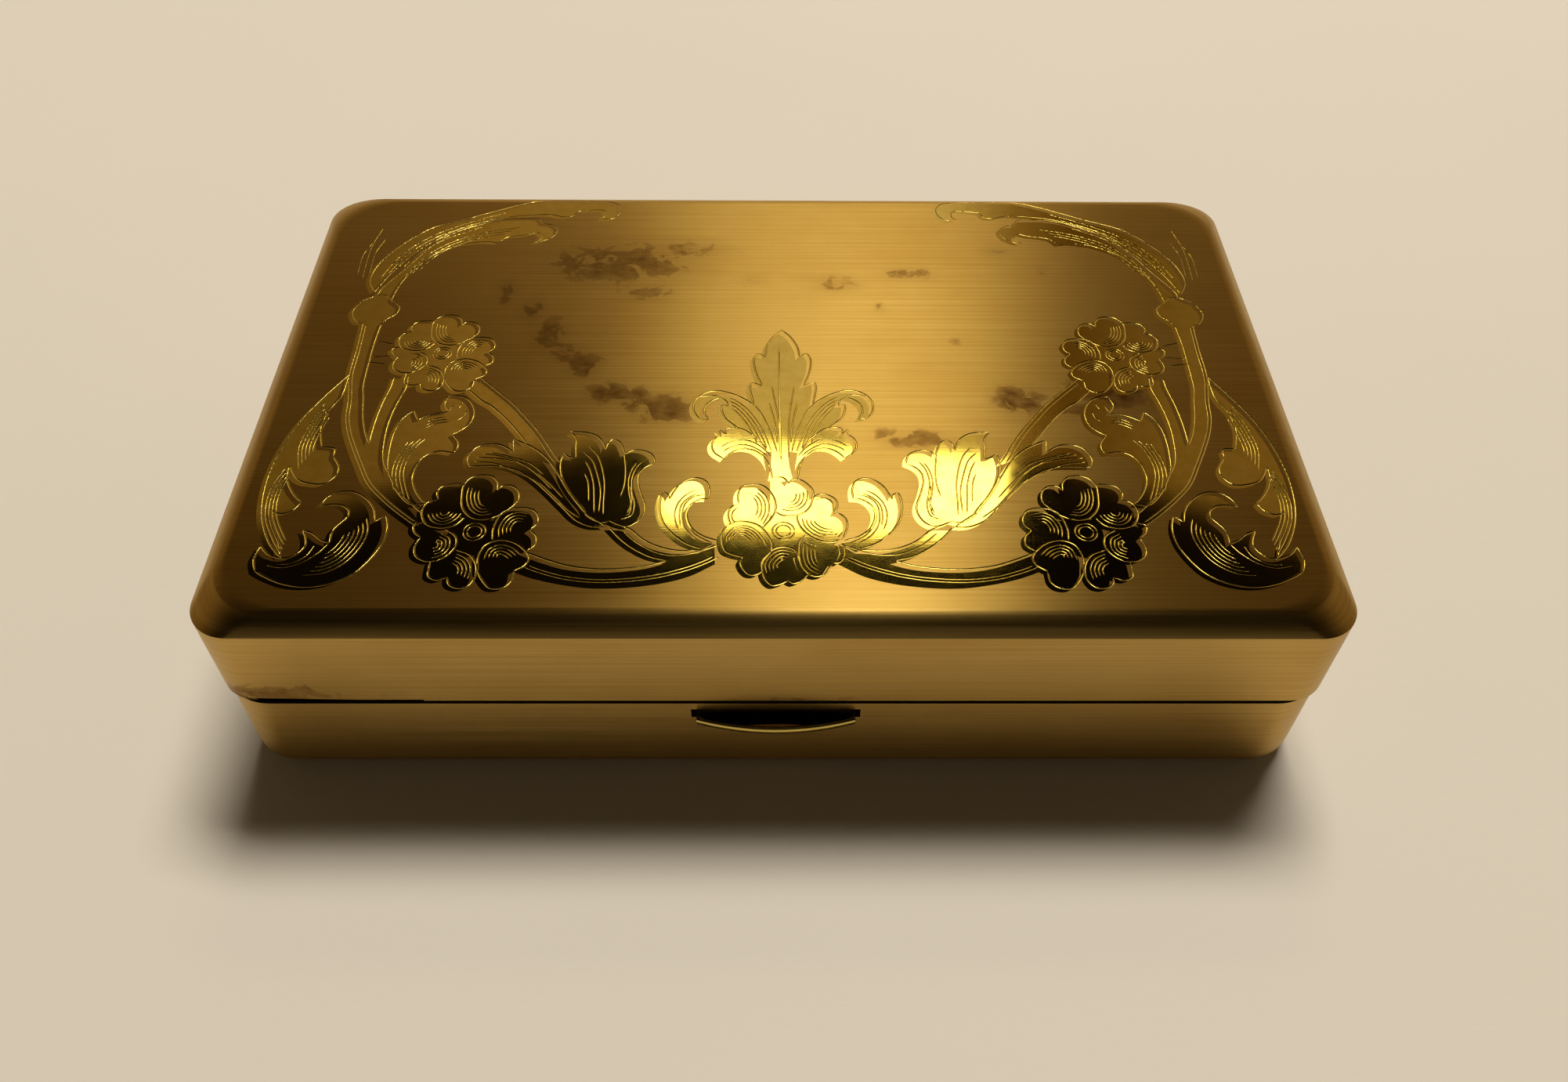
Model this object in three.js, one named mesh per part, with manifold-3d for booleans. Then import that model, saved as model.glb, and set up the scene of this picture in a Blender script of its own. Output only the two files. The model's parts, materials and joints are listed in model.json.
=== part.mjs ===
// Needle case: a flat hinged box of thin brass sheet with a sprung thumb catch, felt in the
// base and a padded lining in the lid. Millimetres, +Z up. The origin is the middle of the
// underside, +X runs to the right along the front edge and +Y runs back to the hinge.

import * as THREE from "three";
import { mergeVertices } from "three/addons/utils/BufferGeometryUtils.js";
import Module from "manifold-3d";

// Driving dimensions of the closed case
const caseWidth = 96;
const caseDepth = 59.8;
const caseHeight = 21.3;
const sheet = 0.6;
const cornerRadius = 4.6;
const baseBottomRadius = 2.2;
const lidCornerRadius = 3.8;
const lidCornerGrowth = 1.0; // how much rounder the lid's corners get for each millimetre in from the wall
const lidShoulderRun = 2.2;
const lidShoulderDrop = 1.3;
const seamHeight = 10.825;
const seamGap = 0.35;

// Hinge
const hingeLength = 60;
const knuckleCount = 5;
const knuckleGap = 0.12;
const barrelRadius = 1.25;
const boreRadius = 0.65;
const pinRadius = 0.6;
const hingeInset = 0.3; // from the outer rear face in to the hinge axis
const notchClearance = 0.1;
const rearEdgeGap = 0.8; // between the rear edges, which butt together when the lid is fully open
const rearEdgeStart = 0.6; // how far in front of the axis the wider gap begins
const leafThickness = 0.5;
const leafHeight = 4.4;
const leafStandoff = 1.45; // leaf edge to hinge axis, outside a leaf's own knuckles

// Thumb catch
const thumbWidth = 13.7;
const thumbReach = 2.0;
const thumbEndReach = 1.0;
const thumbThickness = 0.9;
const thumbHeight = 9.15;
const slotWidth = 14.7;
const slotHeight = 1.2;

// Fit between loose or soldered neighbours
const fitGap = 0.05;
const swingGap = 0.15;

// Inner rim of the base, which guides the lid, and the frame that holds the lid lining
const rimThickness = 0.45;
const rimBottom = 3.5;
const rimTop = 12.0;
const rimRearEnd = 22;
const rimWindowHalf = 15.5;
const rimWindowBottom = 7.0;
const frameBottom = 15.0;
const frameTop = 18.6;
const frameLedgeBottom = 17.25;
const frameLedgeTop = 17.65;
const frameLedgeWidth = 2.0;

// Linings
const cardThickness = 0.6;
const feltThickness = 3.0;
const feltInset = 1.9;
const ribbonWidth = 6;
const ribbonThickness = 0.3;
const ribbonOffset = 14;
const lidPadThickness = 1.3;
const liningInset = 1.9;
const elasticWidth = 8;
const elasticThickness = 0.4;

// Worked out from the above
const halfWidth = caseWidth / 2;
const halfDepth = caseDepth / 2;
const baseEdge = seamHeight - seamGap / 2;
const lidEdge = seamHeight + seamGap / 2;
const wallInner = halfDepth - sheet;
const hingeY = halfDepth - hingeInset;
const lidCeiling = caseHeight - sheet;
const cornerSteps = 8;
const overlap = 0.2; // how far two shapes of one piece run into each other before they are joined

const wasm = await Module();
wasm.setup();

// ---------- solids ----------

function toSolid(geometry) {
  const bare = geometry.clone();
  bare.deleteAttribute("normal");
  bare.deleteAttribute("uv");
  const merged = mergeVertices(bare, 1e-4);
  return new wasm.Manifold(
    new wasm.Mesh({
      numProp: 3,
      vertProperties: new Float32Array(merged.attributes.position.array),
      triVerts: new Uint32Array(merged.index.array),
    }),
  );
}

function toGeometry(solid) {
  const mesh = solid.getMesh();
  const geometry = new THREE.BufferGeometry();
  geometry.setAttribute("position", new THREE.BufferAttribute(mesh.vertProperties, 3));
  geometry.setIndex(new THREE.BufferAttribute(mesh.triVerts, 1));
  geometry.computeVertexNormals();
  return geometry;
}

function joined(...geometries) {
  return toGeometry(geometries.map(toSolid).reduce((all, next) => all.add(next)));
}

function cut(geometry, ...tools) {
  return toGeometry(tools.map(toSolid).reduce((rest, tool) => rest.subtract(tool), toSolid(geometry)));
}

// A box given by its lowest and highest corners.
function boxBetween(low, high) {
  const size = high.map((value, axis) => value - low[axis]);
  const middle = high.map((value, axis) => (value + low[axis]) / 2);
  return new THREE.BoxGeometry(...size).translate(...middle);
}

// A profile drawn in the Y-Z plane, extruded along X from x0 to x1.
function extrudedAlongX(shape, x0, x1, curveSegments = 12) {
  const geometry = new THREE.ExtrudeGeometry(shape, {
    depth: x1 - x0,
    bevelEnabled: false,
    curveSegments,
  });
  const turn = new THREE.Matrix4().makeBasis(
    new THREE.Vector3(0, 1, 0),
    new THREE.Vector3(0, 0, 1),
    new THREE.Vector3(1, 0, 0),
  );
  return geometry.applyMatrix4(turn).translate(x0, 0, 0);
}

// One level ring of a box with rounded corners, anticlockwise seen from above.
function roundedRing(halfX, halfY, radius, z, middleY = 0) {
  const ring = [];
  for (let corner = 0; corner < 4; corner++) {
    const signX = corner === 0 || corner === 3 ? 1 : -1;
    const signY = corner < 2 ? 1 : -1;
    for (let step = 0; step <= cornerSteps; step++) {
      const angle = ((corner + step / cornerSteps) * Math.PI) / 2;
      ring.push([
        signX * (halfX - radius) + radius * Math.cos(angle),
        middleY + signY * (halfY - radius) + radius * Math.sin(angle),
        z,
      ]);
    }
  }
  return ring;
}

// A closed skin through rings of equal length, capped at the first and the last ring. A loop
// has no caps: its last ring joins its first.
function skin(rings, isLoop = false) {
  const count = rings[0].length;
  const triangles = [];
  const bands = isLoop ? rings.length : rings.length - 1;
  for (let band = 0; band < bands; band++) {
    const below = band * count;
    const above = ((band + 1) % rings.length) * count;
    for (let i = 0; i < count; i++) {
      const j = (i + 1) % count;
      triangles.push(below + i, below + j, above + j, below + i, above + j, above + i);
    }
  }
  if (!isLoop) {
    const last = (rings.length - 1) * count;
    for (let i = 1; i < count - 1; i++) {
      triangles.push(0, i + 1, i, last, last + i, last + i + 1);
    }
  }
  const geometry = new THREE.BufferGeometry();
  geometry.setAttribute("position", new THREE.Float32BufferAttribute(rings.flat(2), 3));
  geometry.setIndex(triangles);
  geometry.computeVertexNormals();
  return geometry;
}

// A ring of the case's plan, moved in from the outer wall by an inset.
function caseRing(inset, z) {
  return roundedRing(halfWidth - inset, halfDepth - inset, Math.max(cornerRadius - inset, 0.4), z);
}

// Rings round a quarter ellipse, from its foot on the wall to its end on the flat face. ringAt
// makes the ring for a distance in from the foot and a height.
function quarterRings(ringAt, run, wallZ, rise, steps) {
  const rings = [];
  for (let step = 0; step <= steps; step++) {
    const angle = (step / steps) * (Math.PI / 2);
    rings.push(ringAt(run * (1 - Math.cos(angle)), wallZ + rise * Math.sin(angle)));
  }
  return rings;
}

// The rings of the lid's shoulder, which falls away from the flat top as a parabola.
function shoulderRings(ringAt, run, topZ, drop, steps) {
  const rings = [];
  for (let step = 0; step <= steps; step++) {
    const part = step / steps;
    rings.push(ringAt(run * part, topZ - drop * (1 - part) ** 2));
  }
  return rings;
}

// A ring of the lid's shoulder, on its outer face or one sheet thickness inside it.
function lidRing(depth, inward, z) {
  const inset = depth + inward;
  const radius = lidCornerRadius + lidCornerGrowth * inward - depth;
  return roundedRing(halfWidth - inset, halfDepth - inset, radius, z);
}

// A flat plate with the case's rounded plan.
function plate(inset, z0, z1) {
  return skin([caseRing(inset, z0), caseRing(inset, z1)]);
}

// ---------- shells ----------

function hingeNotch() {
  const reach = barrelRadius + notchClearance;
  return boxBetween(
    [-hingeLength / 2 - notchClearance, hingeY - 2 * barrelRadius, seamHeight - reach],
    [hingeLength / 2 + notchClearance, halfDepth + 1, seamHeight + reach],
  );
}

function rearRelief() {
  return boxBetween(
    [-caseWidth, hingeY - rearEdgeStart, seamHeight - rearEdgeGap / 2],
    [caseWidth, halfDepth + 1, seamHeight + rearEdgeGap / 2],
  );
}

function baseShell() {
  const steps = 4;
  const innerRadius = baseBottomRadius - sheet;
  const outside = quarterRings(caseRing, baseBottomRadius, baseBottomRadius, -baseBottomRadius, steps);
  const innerRing = (inward, z) => caseRing(sheet + inward, z);
  const inside = quarterRings(innerRing, innerRadius, baseBottomRadius, -innerRadius, steps);
  const body = skin([
    ...outside.reverse(),
    caseRing(0, baseEdge),
    caseRing(sheet, baseEdge),
    ...inside,
  ]);
  const slot = boxBetween(
    [-slotWidth / 2, -halfDepth - 1, thumbHeight - slotHeight / 2],
    [slotWidth / 2, -wallInner + 1, thumbHeight + slotHeight / 2],
  );
  return cut(body, slot, hingeNotch(), rearRelief());
}

function lidShell() {
  const steps = 8;
  const innerRun = lidShoulderRun - sheet / 2;
  const innerDrop = lidShoulderDrop - sheet;
  const outerRing = (inward, z) => lidRing(0, inward, z);
  const innerRing = (inward, z) => lidRing(sheet, inward, z);
  const outside = shoulderRings(outerRing, lidShoulderRun, caseHeight, lidShoulderDrop, steps);
  const inside = shoulderRings(innerRing, innerRun, lidCeiling, innerDrop, steps);
  const body = skin([...inside.reverse(), innerRing(0, lidEdge), outerRing(0, lidEdge), ...outside]);
  return cut(body, hingeNotch(), rearRelief());
}

// ---------- hinge ----------

// One leaf with its rolled knuckles. side is 1 for the leaf in the lid, -1 for that in the base.
function hingeLeaf(side, knuckles) {
  const plateBack = wallInner - fitGap;
  const plateFront = plateBack - leafThickness;
  const levels = (near, far) => [seamHeight + side * near, seamHeight + side * far].sort((a, b) => a - b);
  const slab = (x0, x1, near, far) => {
    const [z0, z1] = levels(near, far);
    return boxBetween([x0, plateFront, z0], [x1, plateBack, z1]);
  };
  const pitch = hingeLength / knuckleCount;
  const pieces = [slab(-hingeLength / 2, hingeLength / 2, leafStandoff, leafStandoff + leafHeight)];
  for (const index of knuckles) {
    const x0 = -hingeLength / 2 + index * pitch + knuckleGap / 2;
    const x1 = x0 + pitch - knuckleGap;
    const roll = new THREE.Shape().absarc(hingeY, seamHeight, barrelRadius, 0, 2 * Math.PI);
    pieces.push(extrudedAlongX(roll, x0, x1));
    pieces.push(slab(x0, x1, boreRadius + overlap, leafStandoff + overlap));
  }
  const bore = new THREE.Shape().absarc(hingeY, seamHeight, boreRadius, 0, 2 * Math.PI);
  return cut(joined(...pieces), extrudedAlongX(bore, -hingeLength, hingeLength));
}

function hingePin() {
  const round = new THREE.Shape().absarc(hingeY, seamHeight, pinRadius, 0, 2 * Math.PI);
  return extrudedAlongX(round, -hingeLength / 2, hingeLength / 2);
}

// ---------- thumb catch ----------

const flangeFront = -wallInner + 0.1;
const flangeBack = flangeFront + 0.5;
const flangeHalf = 8.5;
const hookArmFront = -28.5;
const hookArmBack = -28.1;
const hookHalf = 3;
const hookTop = 13.1;
const hookNoseBottom = 12.6;
const hookNoseFront = -28.75;
const lipTop = 12.5;
const springBottom = 7.7;
const springTop = 9.2;

// The D-shaped thumb tab: short straight ends and a shallow arc between them.
function thumbTab() {
  const half = thumbWidth / 2;
  const endY = -halfDepth - thumbEndReach;
  const rise = thumbReach - thumbEndReach;
  const radius = (half * half + rise * rise) / (2 * rise);
  const spread = Math.asin(half / radius);
  const down = -Math.PI / 2;
  const outline = new THREE.Shape();
  outline.moveTo(half, flangeFront + overlap);
  outline.lineTo(-half, flangeFront + overlap);
  outline.lineTo(-half, endY);
  outline.absarc(0, endY - rise + radius, radius, down - spread, down + spread);
  outline.closePath();
  const flat = new THREE.ExtrudeGeometry(outline, {
    depth: thumbThickness,
    bevelEnabled: false,
    curveSegments: 14,
  });
  return flat.translate(0, 0, thumbHeight - thumbThickness / 2);
}

// The thumb tab, the flange that stops it behind the wall, and the hook that holds the lid.
function catchButton() {
  const footBottom = 9.5;
  const flangeBottom = 7.6;
  const flangeTop = 10.3;
  return joined(
    thumbTab(),
    boxBetween([-flangeHalf, flangeFront, flangeBottom], [flangeHalf, flangeBack, flangeTop]),
    boxBetween([-hookHalf, flangeBack - overlap, footBottom], [hookHalf, hookArmBack, flangeTop]),
    boxBetween([-hookHalf, hookArmFront, footBottom + overlap], [hookHalf, hookArmBack, hookTop]),
    boxBetween([-hookHalf, hookNoseFront, hookNoseBottom], [hookHalf, hookArmFront + overlap, hookTop]),
  );
}

// A bowed strip, held at its ends, whose middle bears on the back of the catch.
function catchSpring() {
  const thickness = 0.24;
  const tabY = -28.97;
  const course = [
    [-14, tabY],
    [-10.8, tabY],
    [-8.8, -28.38],
    [-4.5, -28.42],
    [0, flangeBack + fitGap + thickness / 2],
  ];
  const mirrored = course.slice(0, -1).map(([x, y]) => [-x, y]);
  const line = [...course, ...mirrored.reverse()];
  const outline = new THREE.Shape();
  line.forEach(([x, y], i) => {
    if (i === 0) outline.moveTo(x, y - thickness / 2);
    else outline.lineTo(x, y - thickness / 2);
  });
  for (const [x, y] of line.reverse()) outline.lineTo(x, y + thickness / 2);
  outline.closePath();
  return new THREE.ExtrudeGeometry(outline, {
    depth: springTop - springBottom,
    bevelEnabled: false,
  }).translate(0, 0, springBottom);
}

// A folded loop, soldered to the wall, that holds one end of the spring.
function springClip(side) {
  const margin = 0.05;
  const wall = 0.4;
  const outline = new THREE.Shape();
  outline.moveTo(-wallInner + 0.03, springBottom - wall);
  outline.lineTo(-28.5, springBottom - wall);
  outline.lineTo(-28.5, springTop + wall);
  outline.lineTo(-wallInner + 0.03, springTop + wall);
  outline.closePath();
  const loop = new THREE.Path();
  loop.moveTo(-29.14, springBottom - margin);
  loop.lineTo(-29.14, springTop + margin);
  loop.lineTo(-28.8, springTop + margin);
  loop.lineTo(-28.8, springBottom - margin);
  loop.closePath();
  outline.holes.push(loop);
  const length = 2.2;
  const middle = side * 12.6;
  return extrudedAlongX(outline, middle - length / 2, middle + length / 2);
}

// The strip inside the front wall of the lid that the hook bears on.
function lidCatchLip() {
  const half = 5;
  const thickness = 0.4;
  const front = -wallInner + fitGap;
  return boxBetween([-half, front, lidEdge + swingGap], [half, front + thickness, lipTop]);
}

// ---------- inner frames ----------

// A strip inside the base's front and side walls. It stands above the base's edge and guides
// the lid, stops in front of the hinge, and has a window for the catch.
function baseInnerRim() {
  const outer = sheet + swingGap;
  const inner = outer + rimThickness;
  const band = skin(
    [
      caseRing(outer, rimBottom),
      caseRing(outer, rimTop),
      caseRing(inner, rimTop),
      caseRing(inner, rimBottom),
    ],
    true,
  );
  const beyond = boxBetween([-caseWidth, rimRearEnd, 0], [caseWidth, caseDepth, caseHeight]);
  const window = boxBetween(
    [-rimWindowHalf, -caseDepth, rimWindowBottom],
    [rimWindowHalf, -caseDepth / 4, caseHeight],
  );
  return cut(band, beyond, window);
}

// A strip with an inward ledge that holds the lid lining. Its rear side stands clear of the
// hinge leaf.
function lidInnerFrame() {
  const strip = 0.4;
  const outer = sheet + swingGap;
  const rearClearance = leafThickness + 2 * fitGap + 0.2;
  const ring = (inset, z) =>
    roundedRing(
      halfWidth - inset,
      halfDepth - inset - rearClearance / 2,
      Math.max(cornerRadius - inset, 1.2),
      z,
      -rearClearance / 2,
    );
  return skin(
    [
      ring(outer, frameBottom),
      ring(outer, frameTop),
      ring(outer + strip, frameTop),
      ring(outer + strip, frameLedgeTop),
      ring(outer + strip + frameLedgeWidth, frameLedgeTop),
      ring(outer + strip + frameLedgeWidth, frameLedgeBottom),
      ring(outer + strip, frameLedgeBottom),
      ring(outer + strip, frameBottom),
    ],
    true,
  );
}

// ---------- linings ----------

const cardBottom = sheet + fitGap;
const feltBottom = cardBottom + cardThickness + fitGap;
const feltTop = feltBottom + feltThickness;
const lidCardTop = lidCeiling - 0.9;
const lidPadTop = lidCardTop - cardThickness - fitGap;
const elasticTop = frameLedgeBottom - 0.12;
const elasticHalf = 44.4;

function ribbon(side) {
  const half = halfWidth - 8;
  const bottom = feltTop + fitGap;
  return boxBetween(
    [-half, side * ribbonOffset - ribbonWidth / 2, bottom],
    [half, side * ribbonOffset + ribbonWidth / 2, bottom + ribbonThickness],
  );
}

function lidPad() {
  const bottom = lidPadTop - lidPadThickness;
  const rearClearance = leafThickness + 2 * fitGap;
  const ring = (inset, z) =>
    roundedRing(
      halfWidth - inset,
      halfDepth - inset - rearClearance / 2,
      cornerRadius - liningInset,
      z,
      -rearClearance / 2,
    );
  return skin([ring(liningInset + 0.4, bottom), ring(liningInset, bottom + 0.4), ring(liningInset, lidPadTop)]);
}

function lidElastic() {
  return boxBetween(
    [-elasticHalf, -elasticWidth / 2, elasticTop - elasticThickness],
    [elasticHalf, elasticWidth / 2, elasticTop],
  );
}

// A flat folded loop under the ledge that grips one end of the elastic.
function elasticClip(side) {
  const wall = 0.3;
  const margin = 0.05;
  const length = 2.4;
  const middle = side * (elasticHalf - 0.6);
  const top = frameLedgeBottom - 0.03;
  const bottom = elasticTop - elasticThickness - margin - wall;
  const halfY = elasticWidth / 2 + margin + wall;
  const outline = new THREE.Shape();
  outline.moveTo(-halfY, bottom);
  outline.lineTo(halfY, bottom);
  outline.lineTo(halfY, top);
  outline.lineTo(-halfY, top);
  outline.closePath();
  const loop = new THREE.Path();
  loop.moveTo(-halfY + wall, bottom + wall);
  loop.lineTo(-halfY + wall, elasticTop + 0.02);
  loop.lineTo(halfY - wall, elasticTop + 0.02);
  loop.lineTo(halfY - wall, bottom + wall);
  loop.closePath();
  outline.holes.push(loop);
  return extrudedAlongX(outline, middle - length / 2, middle + length / 2);
}

// ---------- materials ----------

function material(color, roughness, metalness) {
  return new THREE.MeshStandardMaterial({ color, roughness, metalness });
}

const brushedBrass = material(0xb08a3c, 0.35, 1);
const innerBrass = material(0xa98436, 0.4, 1);
const springSteel = material(0x9a9a98, 0.35, 1);
const felt = material(0x5a1a24, 0.95, 0);
const card = material(0xb9a27c, 0.9, 0);
const satin = material(0xc9b184, 0.6, 0);
const ribbonCloth = material(0x8a2c34, 0.6, 0);
const elasticCloth = material(0xd8cba8, 0.8, 0);

// ---------- assembly ----------

const needleCase = new THREE.Group();

function place(name, geometry, finish, parent = needleCase) {
  const mesh = new THREE.Mesh(geometry, finish);
  mesh.name = name;
  parent.add(mesh);
}

const base = new THREE.Group();
const lid = new THREE.Group();
needleCase.add(base, lid);

place("base_shell", baseShell(), brushedBrass, base);
place("base_inner_rim", baseInnerRim(), innerBrass, base);
place("base_hinge_leaf", hingeLeaf(-1, [0, 2, 4]), innerBrass, base);
place("hinge_pin", hingePin(), springSteel, base);
place("catch_button", catchButton(), brushedBrass, base);
place("catch_spring", catchSpring(), springSteel, base);
place("spring_clip_left", springClip(-1), innerBrass, base);
place("spring_clip_right", springClip(1), innerBrass, base);
place("base_card", plate(2.2, cardBottom, cardBottom + cardThickness), card, base);
place("needle_felt", plate(feltInset, feltBottom, feltTop), felt, base);
place("needle_ribbon_front", ribbon(-1), ribbonCloth, base);
place("needle_ribbon_rear", ribbon(1), ribbonCloth, base);

place("lid_shell", lidShell(), brushedBrass, lid);
place("lid_hinge_leaf", hingeLeaf(1, [1, 3]), innerBrass, lid);
place("lid_catch_lip", lidCatchLip(), innerBrass, lid);
place("lid_inner_frame", lidInnerFrame(), innerBrass, lid);
place("lid_card", plate(liningInset + 0.3, lidCardTop - cardThickness, lidCardTop), card, lid);
place("lid_pad", lidPad(), satin, lid);
place("lid_elastic", lidElastic(), elasticCloth, lid);
place("elastic_clip_left", elasticClip(-1), innerBrass, lid);
place("elastic_clip_right", elasticClip(1), innerBrass, lid);

export default needleCase;
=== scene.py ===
"""A brushed brass needle case with an engraved, part-polished lid, seen from the front and above.

Engraving and sheet sizes are in millimetres and become metres in build_mesh. The engraving is drawn in
its own frame: the plan of the lid, moved and turned a little as it sits on the real lid, with the right
half drawn and the left half mirrored.
"""

import contextlib
import json
import math
import bmesh
import bpy
import numpy as np
from mathutils import Matrix, Vector, geometry, kdtree


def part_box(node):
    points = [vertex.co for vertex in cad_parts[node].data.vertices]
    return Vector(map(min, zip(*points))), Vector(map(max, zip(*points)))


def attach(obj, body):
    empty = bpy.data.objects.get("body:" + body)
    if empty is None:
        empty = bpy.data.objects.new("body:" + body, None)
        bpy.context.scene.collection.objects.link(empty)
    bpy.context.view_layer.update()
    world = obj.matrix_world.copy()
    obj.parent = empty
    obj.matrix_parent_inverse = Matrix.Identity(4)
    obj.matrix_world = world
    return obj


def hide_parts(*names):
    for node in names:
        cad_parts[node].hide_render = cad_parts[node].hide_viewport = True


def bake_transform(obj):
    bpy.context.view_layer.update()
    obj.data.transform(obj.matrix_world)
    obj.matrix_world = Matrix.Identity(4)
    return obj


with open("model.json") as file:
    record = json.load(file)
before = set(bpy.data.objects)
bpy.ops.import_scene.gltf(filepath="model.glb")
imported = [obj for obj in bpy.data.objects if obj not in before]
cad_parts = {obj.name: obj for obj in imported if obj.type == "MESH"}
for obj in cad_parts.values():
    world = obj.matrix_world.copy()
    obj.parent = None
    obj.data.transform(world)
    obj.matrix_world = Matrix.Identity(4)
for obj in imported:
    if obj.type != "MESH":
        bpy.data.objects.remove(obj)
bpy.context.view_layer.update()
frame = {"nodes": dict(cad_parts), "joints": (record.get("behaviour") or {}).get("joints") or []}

MM = 0.001
MERGE_DISTANCE = 1e-4
CORNERS = ((1, 1), (-1, 1), (-1, -1), (1, -1))

# ---------- sizes worked out from the frame, in millimetres ----------


def node_box(name):
    low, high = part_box(name)
    return [v / MM for v in low], [v / MM for v in high]


(_, _, LID_EDGE), (HALF_X, HALF_Y, TOP_Z) = node_box("lid_shell")
BASE_EDGE = node_box("base_shell")[1][2]
HINGE = next(j for j in frame["joints"] if j["name"] == "lid_hinge")["pos_m"]
HINGE_Y, HINGE_Z = HINGE[1] / MM, HINGE[2] / MM
SHEET = 0.6
LID_CORNER = 3.8
LID_CORNER_GROWTH = 1.0
SHOULDER_RUN = 2.2
SHOULDER_DROP = 1.3
BASE_CORNER = 4.6
BOTTOM_RADIUS = 2.2
NOTCH_HALF = node_box("hinge_pin")[1][0] + 0.1
NOTCH_REACH = 1.35
NOTCH_START = HINGE_Y - 2.5
REAR_EDGE_HALF_GAP = 0.4
REAR_EDGE_START = HINGE_Y - 0.6
SLOT_HALF = 7.35
SLOT_LOW, SLOT_HIGH = 8.55, 9.75
LID_COLUMNS = (-NOTCH_HALF, -15, 0, 15, NOTCH_HALF)
PLAN_STEPS = 14

# ---------- small tools for curves and meshes ----------


def spline(points, step):
    """A smooth line through the points (centripetal Catmull-Rom), with about one vertex per step."""
    p = [np.array(q, float) for q in points]
    p = [2 * p[0] - p[1]] + p + [2 * p[-1] - p[-2]]
    line = []
    for a, b, c, d in zip(p, p[1:], p[2:], p[3:]):
        t1 = np.linalg.norm(b - a) ** 0.5 + 1e-6
        t2 = t1 + np.linalg.norm(c - b) ** 0.5 + 1e-6
        t3 = t2 + np.linalg.norm(d - c) ** 0.5 + 1e-6
        count = max(2, math.ceil(np.linalg.norm(c - b) / step))
        for i in range(count):
            t = t1 + (t2 - t1) * i / count
            ab = a + (b - a) * t / t1
            bc = b + (c - b) * (t - t1) / (t2 - t1)
            cd = c + (d - c) * (t - t2) / (t3 - t2)
            abc = ab + (bc - ab) * t / t2
            bcd = bc + (cd - bc) * (t - t1) / (t3 - t1)
            line.append(abc + (bcd - abc) * (t - t1) / (t2 - t1))
    line.append(p[-2])
    return np.array(line)


def normals_2d(line):
    along = np.gradient(line, axis=0)
    along /= np.linalg.norm(along, axis=1)[:, None] + 1e-9
    return np.stack([-along[:, 1], along[:, 0]], 1)


def lengths_along(line):
    return np.concatenate([[0], np.cumsum(np.linalg.norm(np.diff(line, axis=0), axis=1))])


def trimmed(line, start, end):
    """The stretch of a line between two fractions of its length."""
    s = lengths_along(line)
    s /= s[-1]
    keep = line[(s > start) & (s < end)]
    ends = [[np.interp(f, s, line[:, axis]) for axis in (0, 1)] for f in (start, end)]
    return np.concatenate([[ends[0]], keep, [ends[1]]])


def inside(points, polygon):
    """Which of the points lie in a closed polygon."""
    found = np.zeros(len(points), bool)
    low, high = polygon.min(0), polygon.max(0)
    near = np.where(((points > low) & (points < high)).all(1))[0]
    x, y = points[near, 0], points[near, 1]
    odd = np.zeros(len(near), bool)
    for (x0, y0), (x1, y1) in zip(polygon, np.roll(polygon, -1, 0)):
        crosses = (y0 > y) != (y1 > y)
        if y1 != y0:
            odd ^= crosses & (x < (x1 - x0) * (y - y0) / (y1 - y0) + x0)
    found[near] = odd
    return found


def in_scene(name, data):
    """A new object with this data, linked into the scene."""
    made = bpy.data.objects.new(name, data)
    bpy.context.scene.collection.objects.link(made)
    return made


@contextlib.contextmanager
def edited(mesh):
    """The mesh as a bmesh, which is written back at the end."""
    work = bmesh.new()
    work.from_mesh(mesh)
    yield work
    work.to_mesh(mesh)
    work.free()


def closed_edges(start, count):
    """The edges of a closed run of vertices."""
    return [(start + k, start + (k + 1) % count) for k in range(count)]


def triangulated(points, edges):
    """The points and triangles of a flat mesh that keeps the edges."""
    made = geometry.delaunay_2d_cdt([Vector(p) for p in points], edges, [], 1, MERGE_DISTANCE, False)
    return made[0], made[2]


def build_mesh(name, vertices, faces, materials, indices=None, uvs=None, sharp=30):
    """A mesh object from vertices in millimetres, smooth except across edges sharper than an angle."""
    mesh = bpy.data.meshes.new(name)
    mesh.from_pydata([tuple(v * MM for v in p) for p in vertices], [], faces)
    for material in materials:
        mesh.materials.append(material)
    if indices is not None:
        mesh.polygons.foreach_set("material_index", indices)
    if uvs is not None:
        layer = mesh.uv_layers.new(name="UVMap")
        corner_vertices = np.zeros(len(mesh.loops), int)
        mesh.loops.foreach_get("vertex_index", corner_vertices)
        layer.data.foreach_set("uv", np.asarray(uvs, float)[corner_vertices].ravel())
    mesh.shade_smooth()
    mesh.set_sharp_from_angle(angle=math.radians(sharp))
    mesh.update()
    return in_scene(name, mesh)


def corner_arcs(centre, half, radius, steps):
    """The four round corners of a rectangle, anticlockwise, each a list of points."""
    arcs = []
    for corner, (sx, sy) in enumerate(CORNERS):
        x = centre[0] + sx * (half[0] - radius)
        y = centre[1] + sy * (half[1] - radius)
        turns = [(corner + step / steps) * math.pi / 2 for step in range(steps + 1)]
        arcs.append([(x + radius * math.cos(a), y + radius * math.sin(a)) for a in turns])
    return arcs


def plan_ring(inset, radius, z, extra_x=()):
    """A level ring of the case's plan, anticlockwise, as (x, y, z). z may be a function of x and y."""
    half = (HALF_X - inset, HALF_Y - inset)
    arcs = corner_arcs((0, 0), half, radius, PLAN_STEPS)
    rear = [(x, half[1]) for x in sorted(extra_x, reverse=True)]
    front = [(x, -half[1]) for x in sorted(extra_x)]
    ring = arcs[0] + rear + arcs[1] + arcs[2] + front + arcs[3]
    return [(x, y, z(x, y) if callable(z) else z) for x, y in ring]


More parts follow.
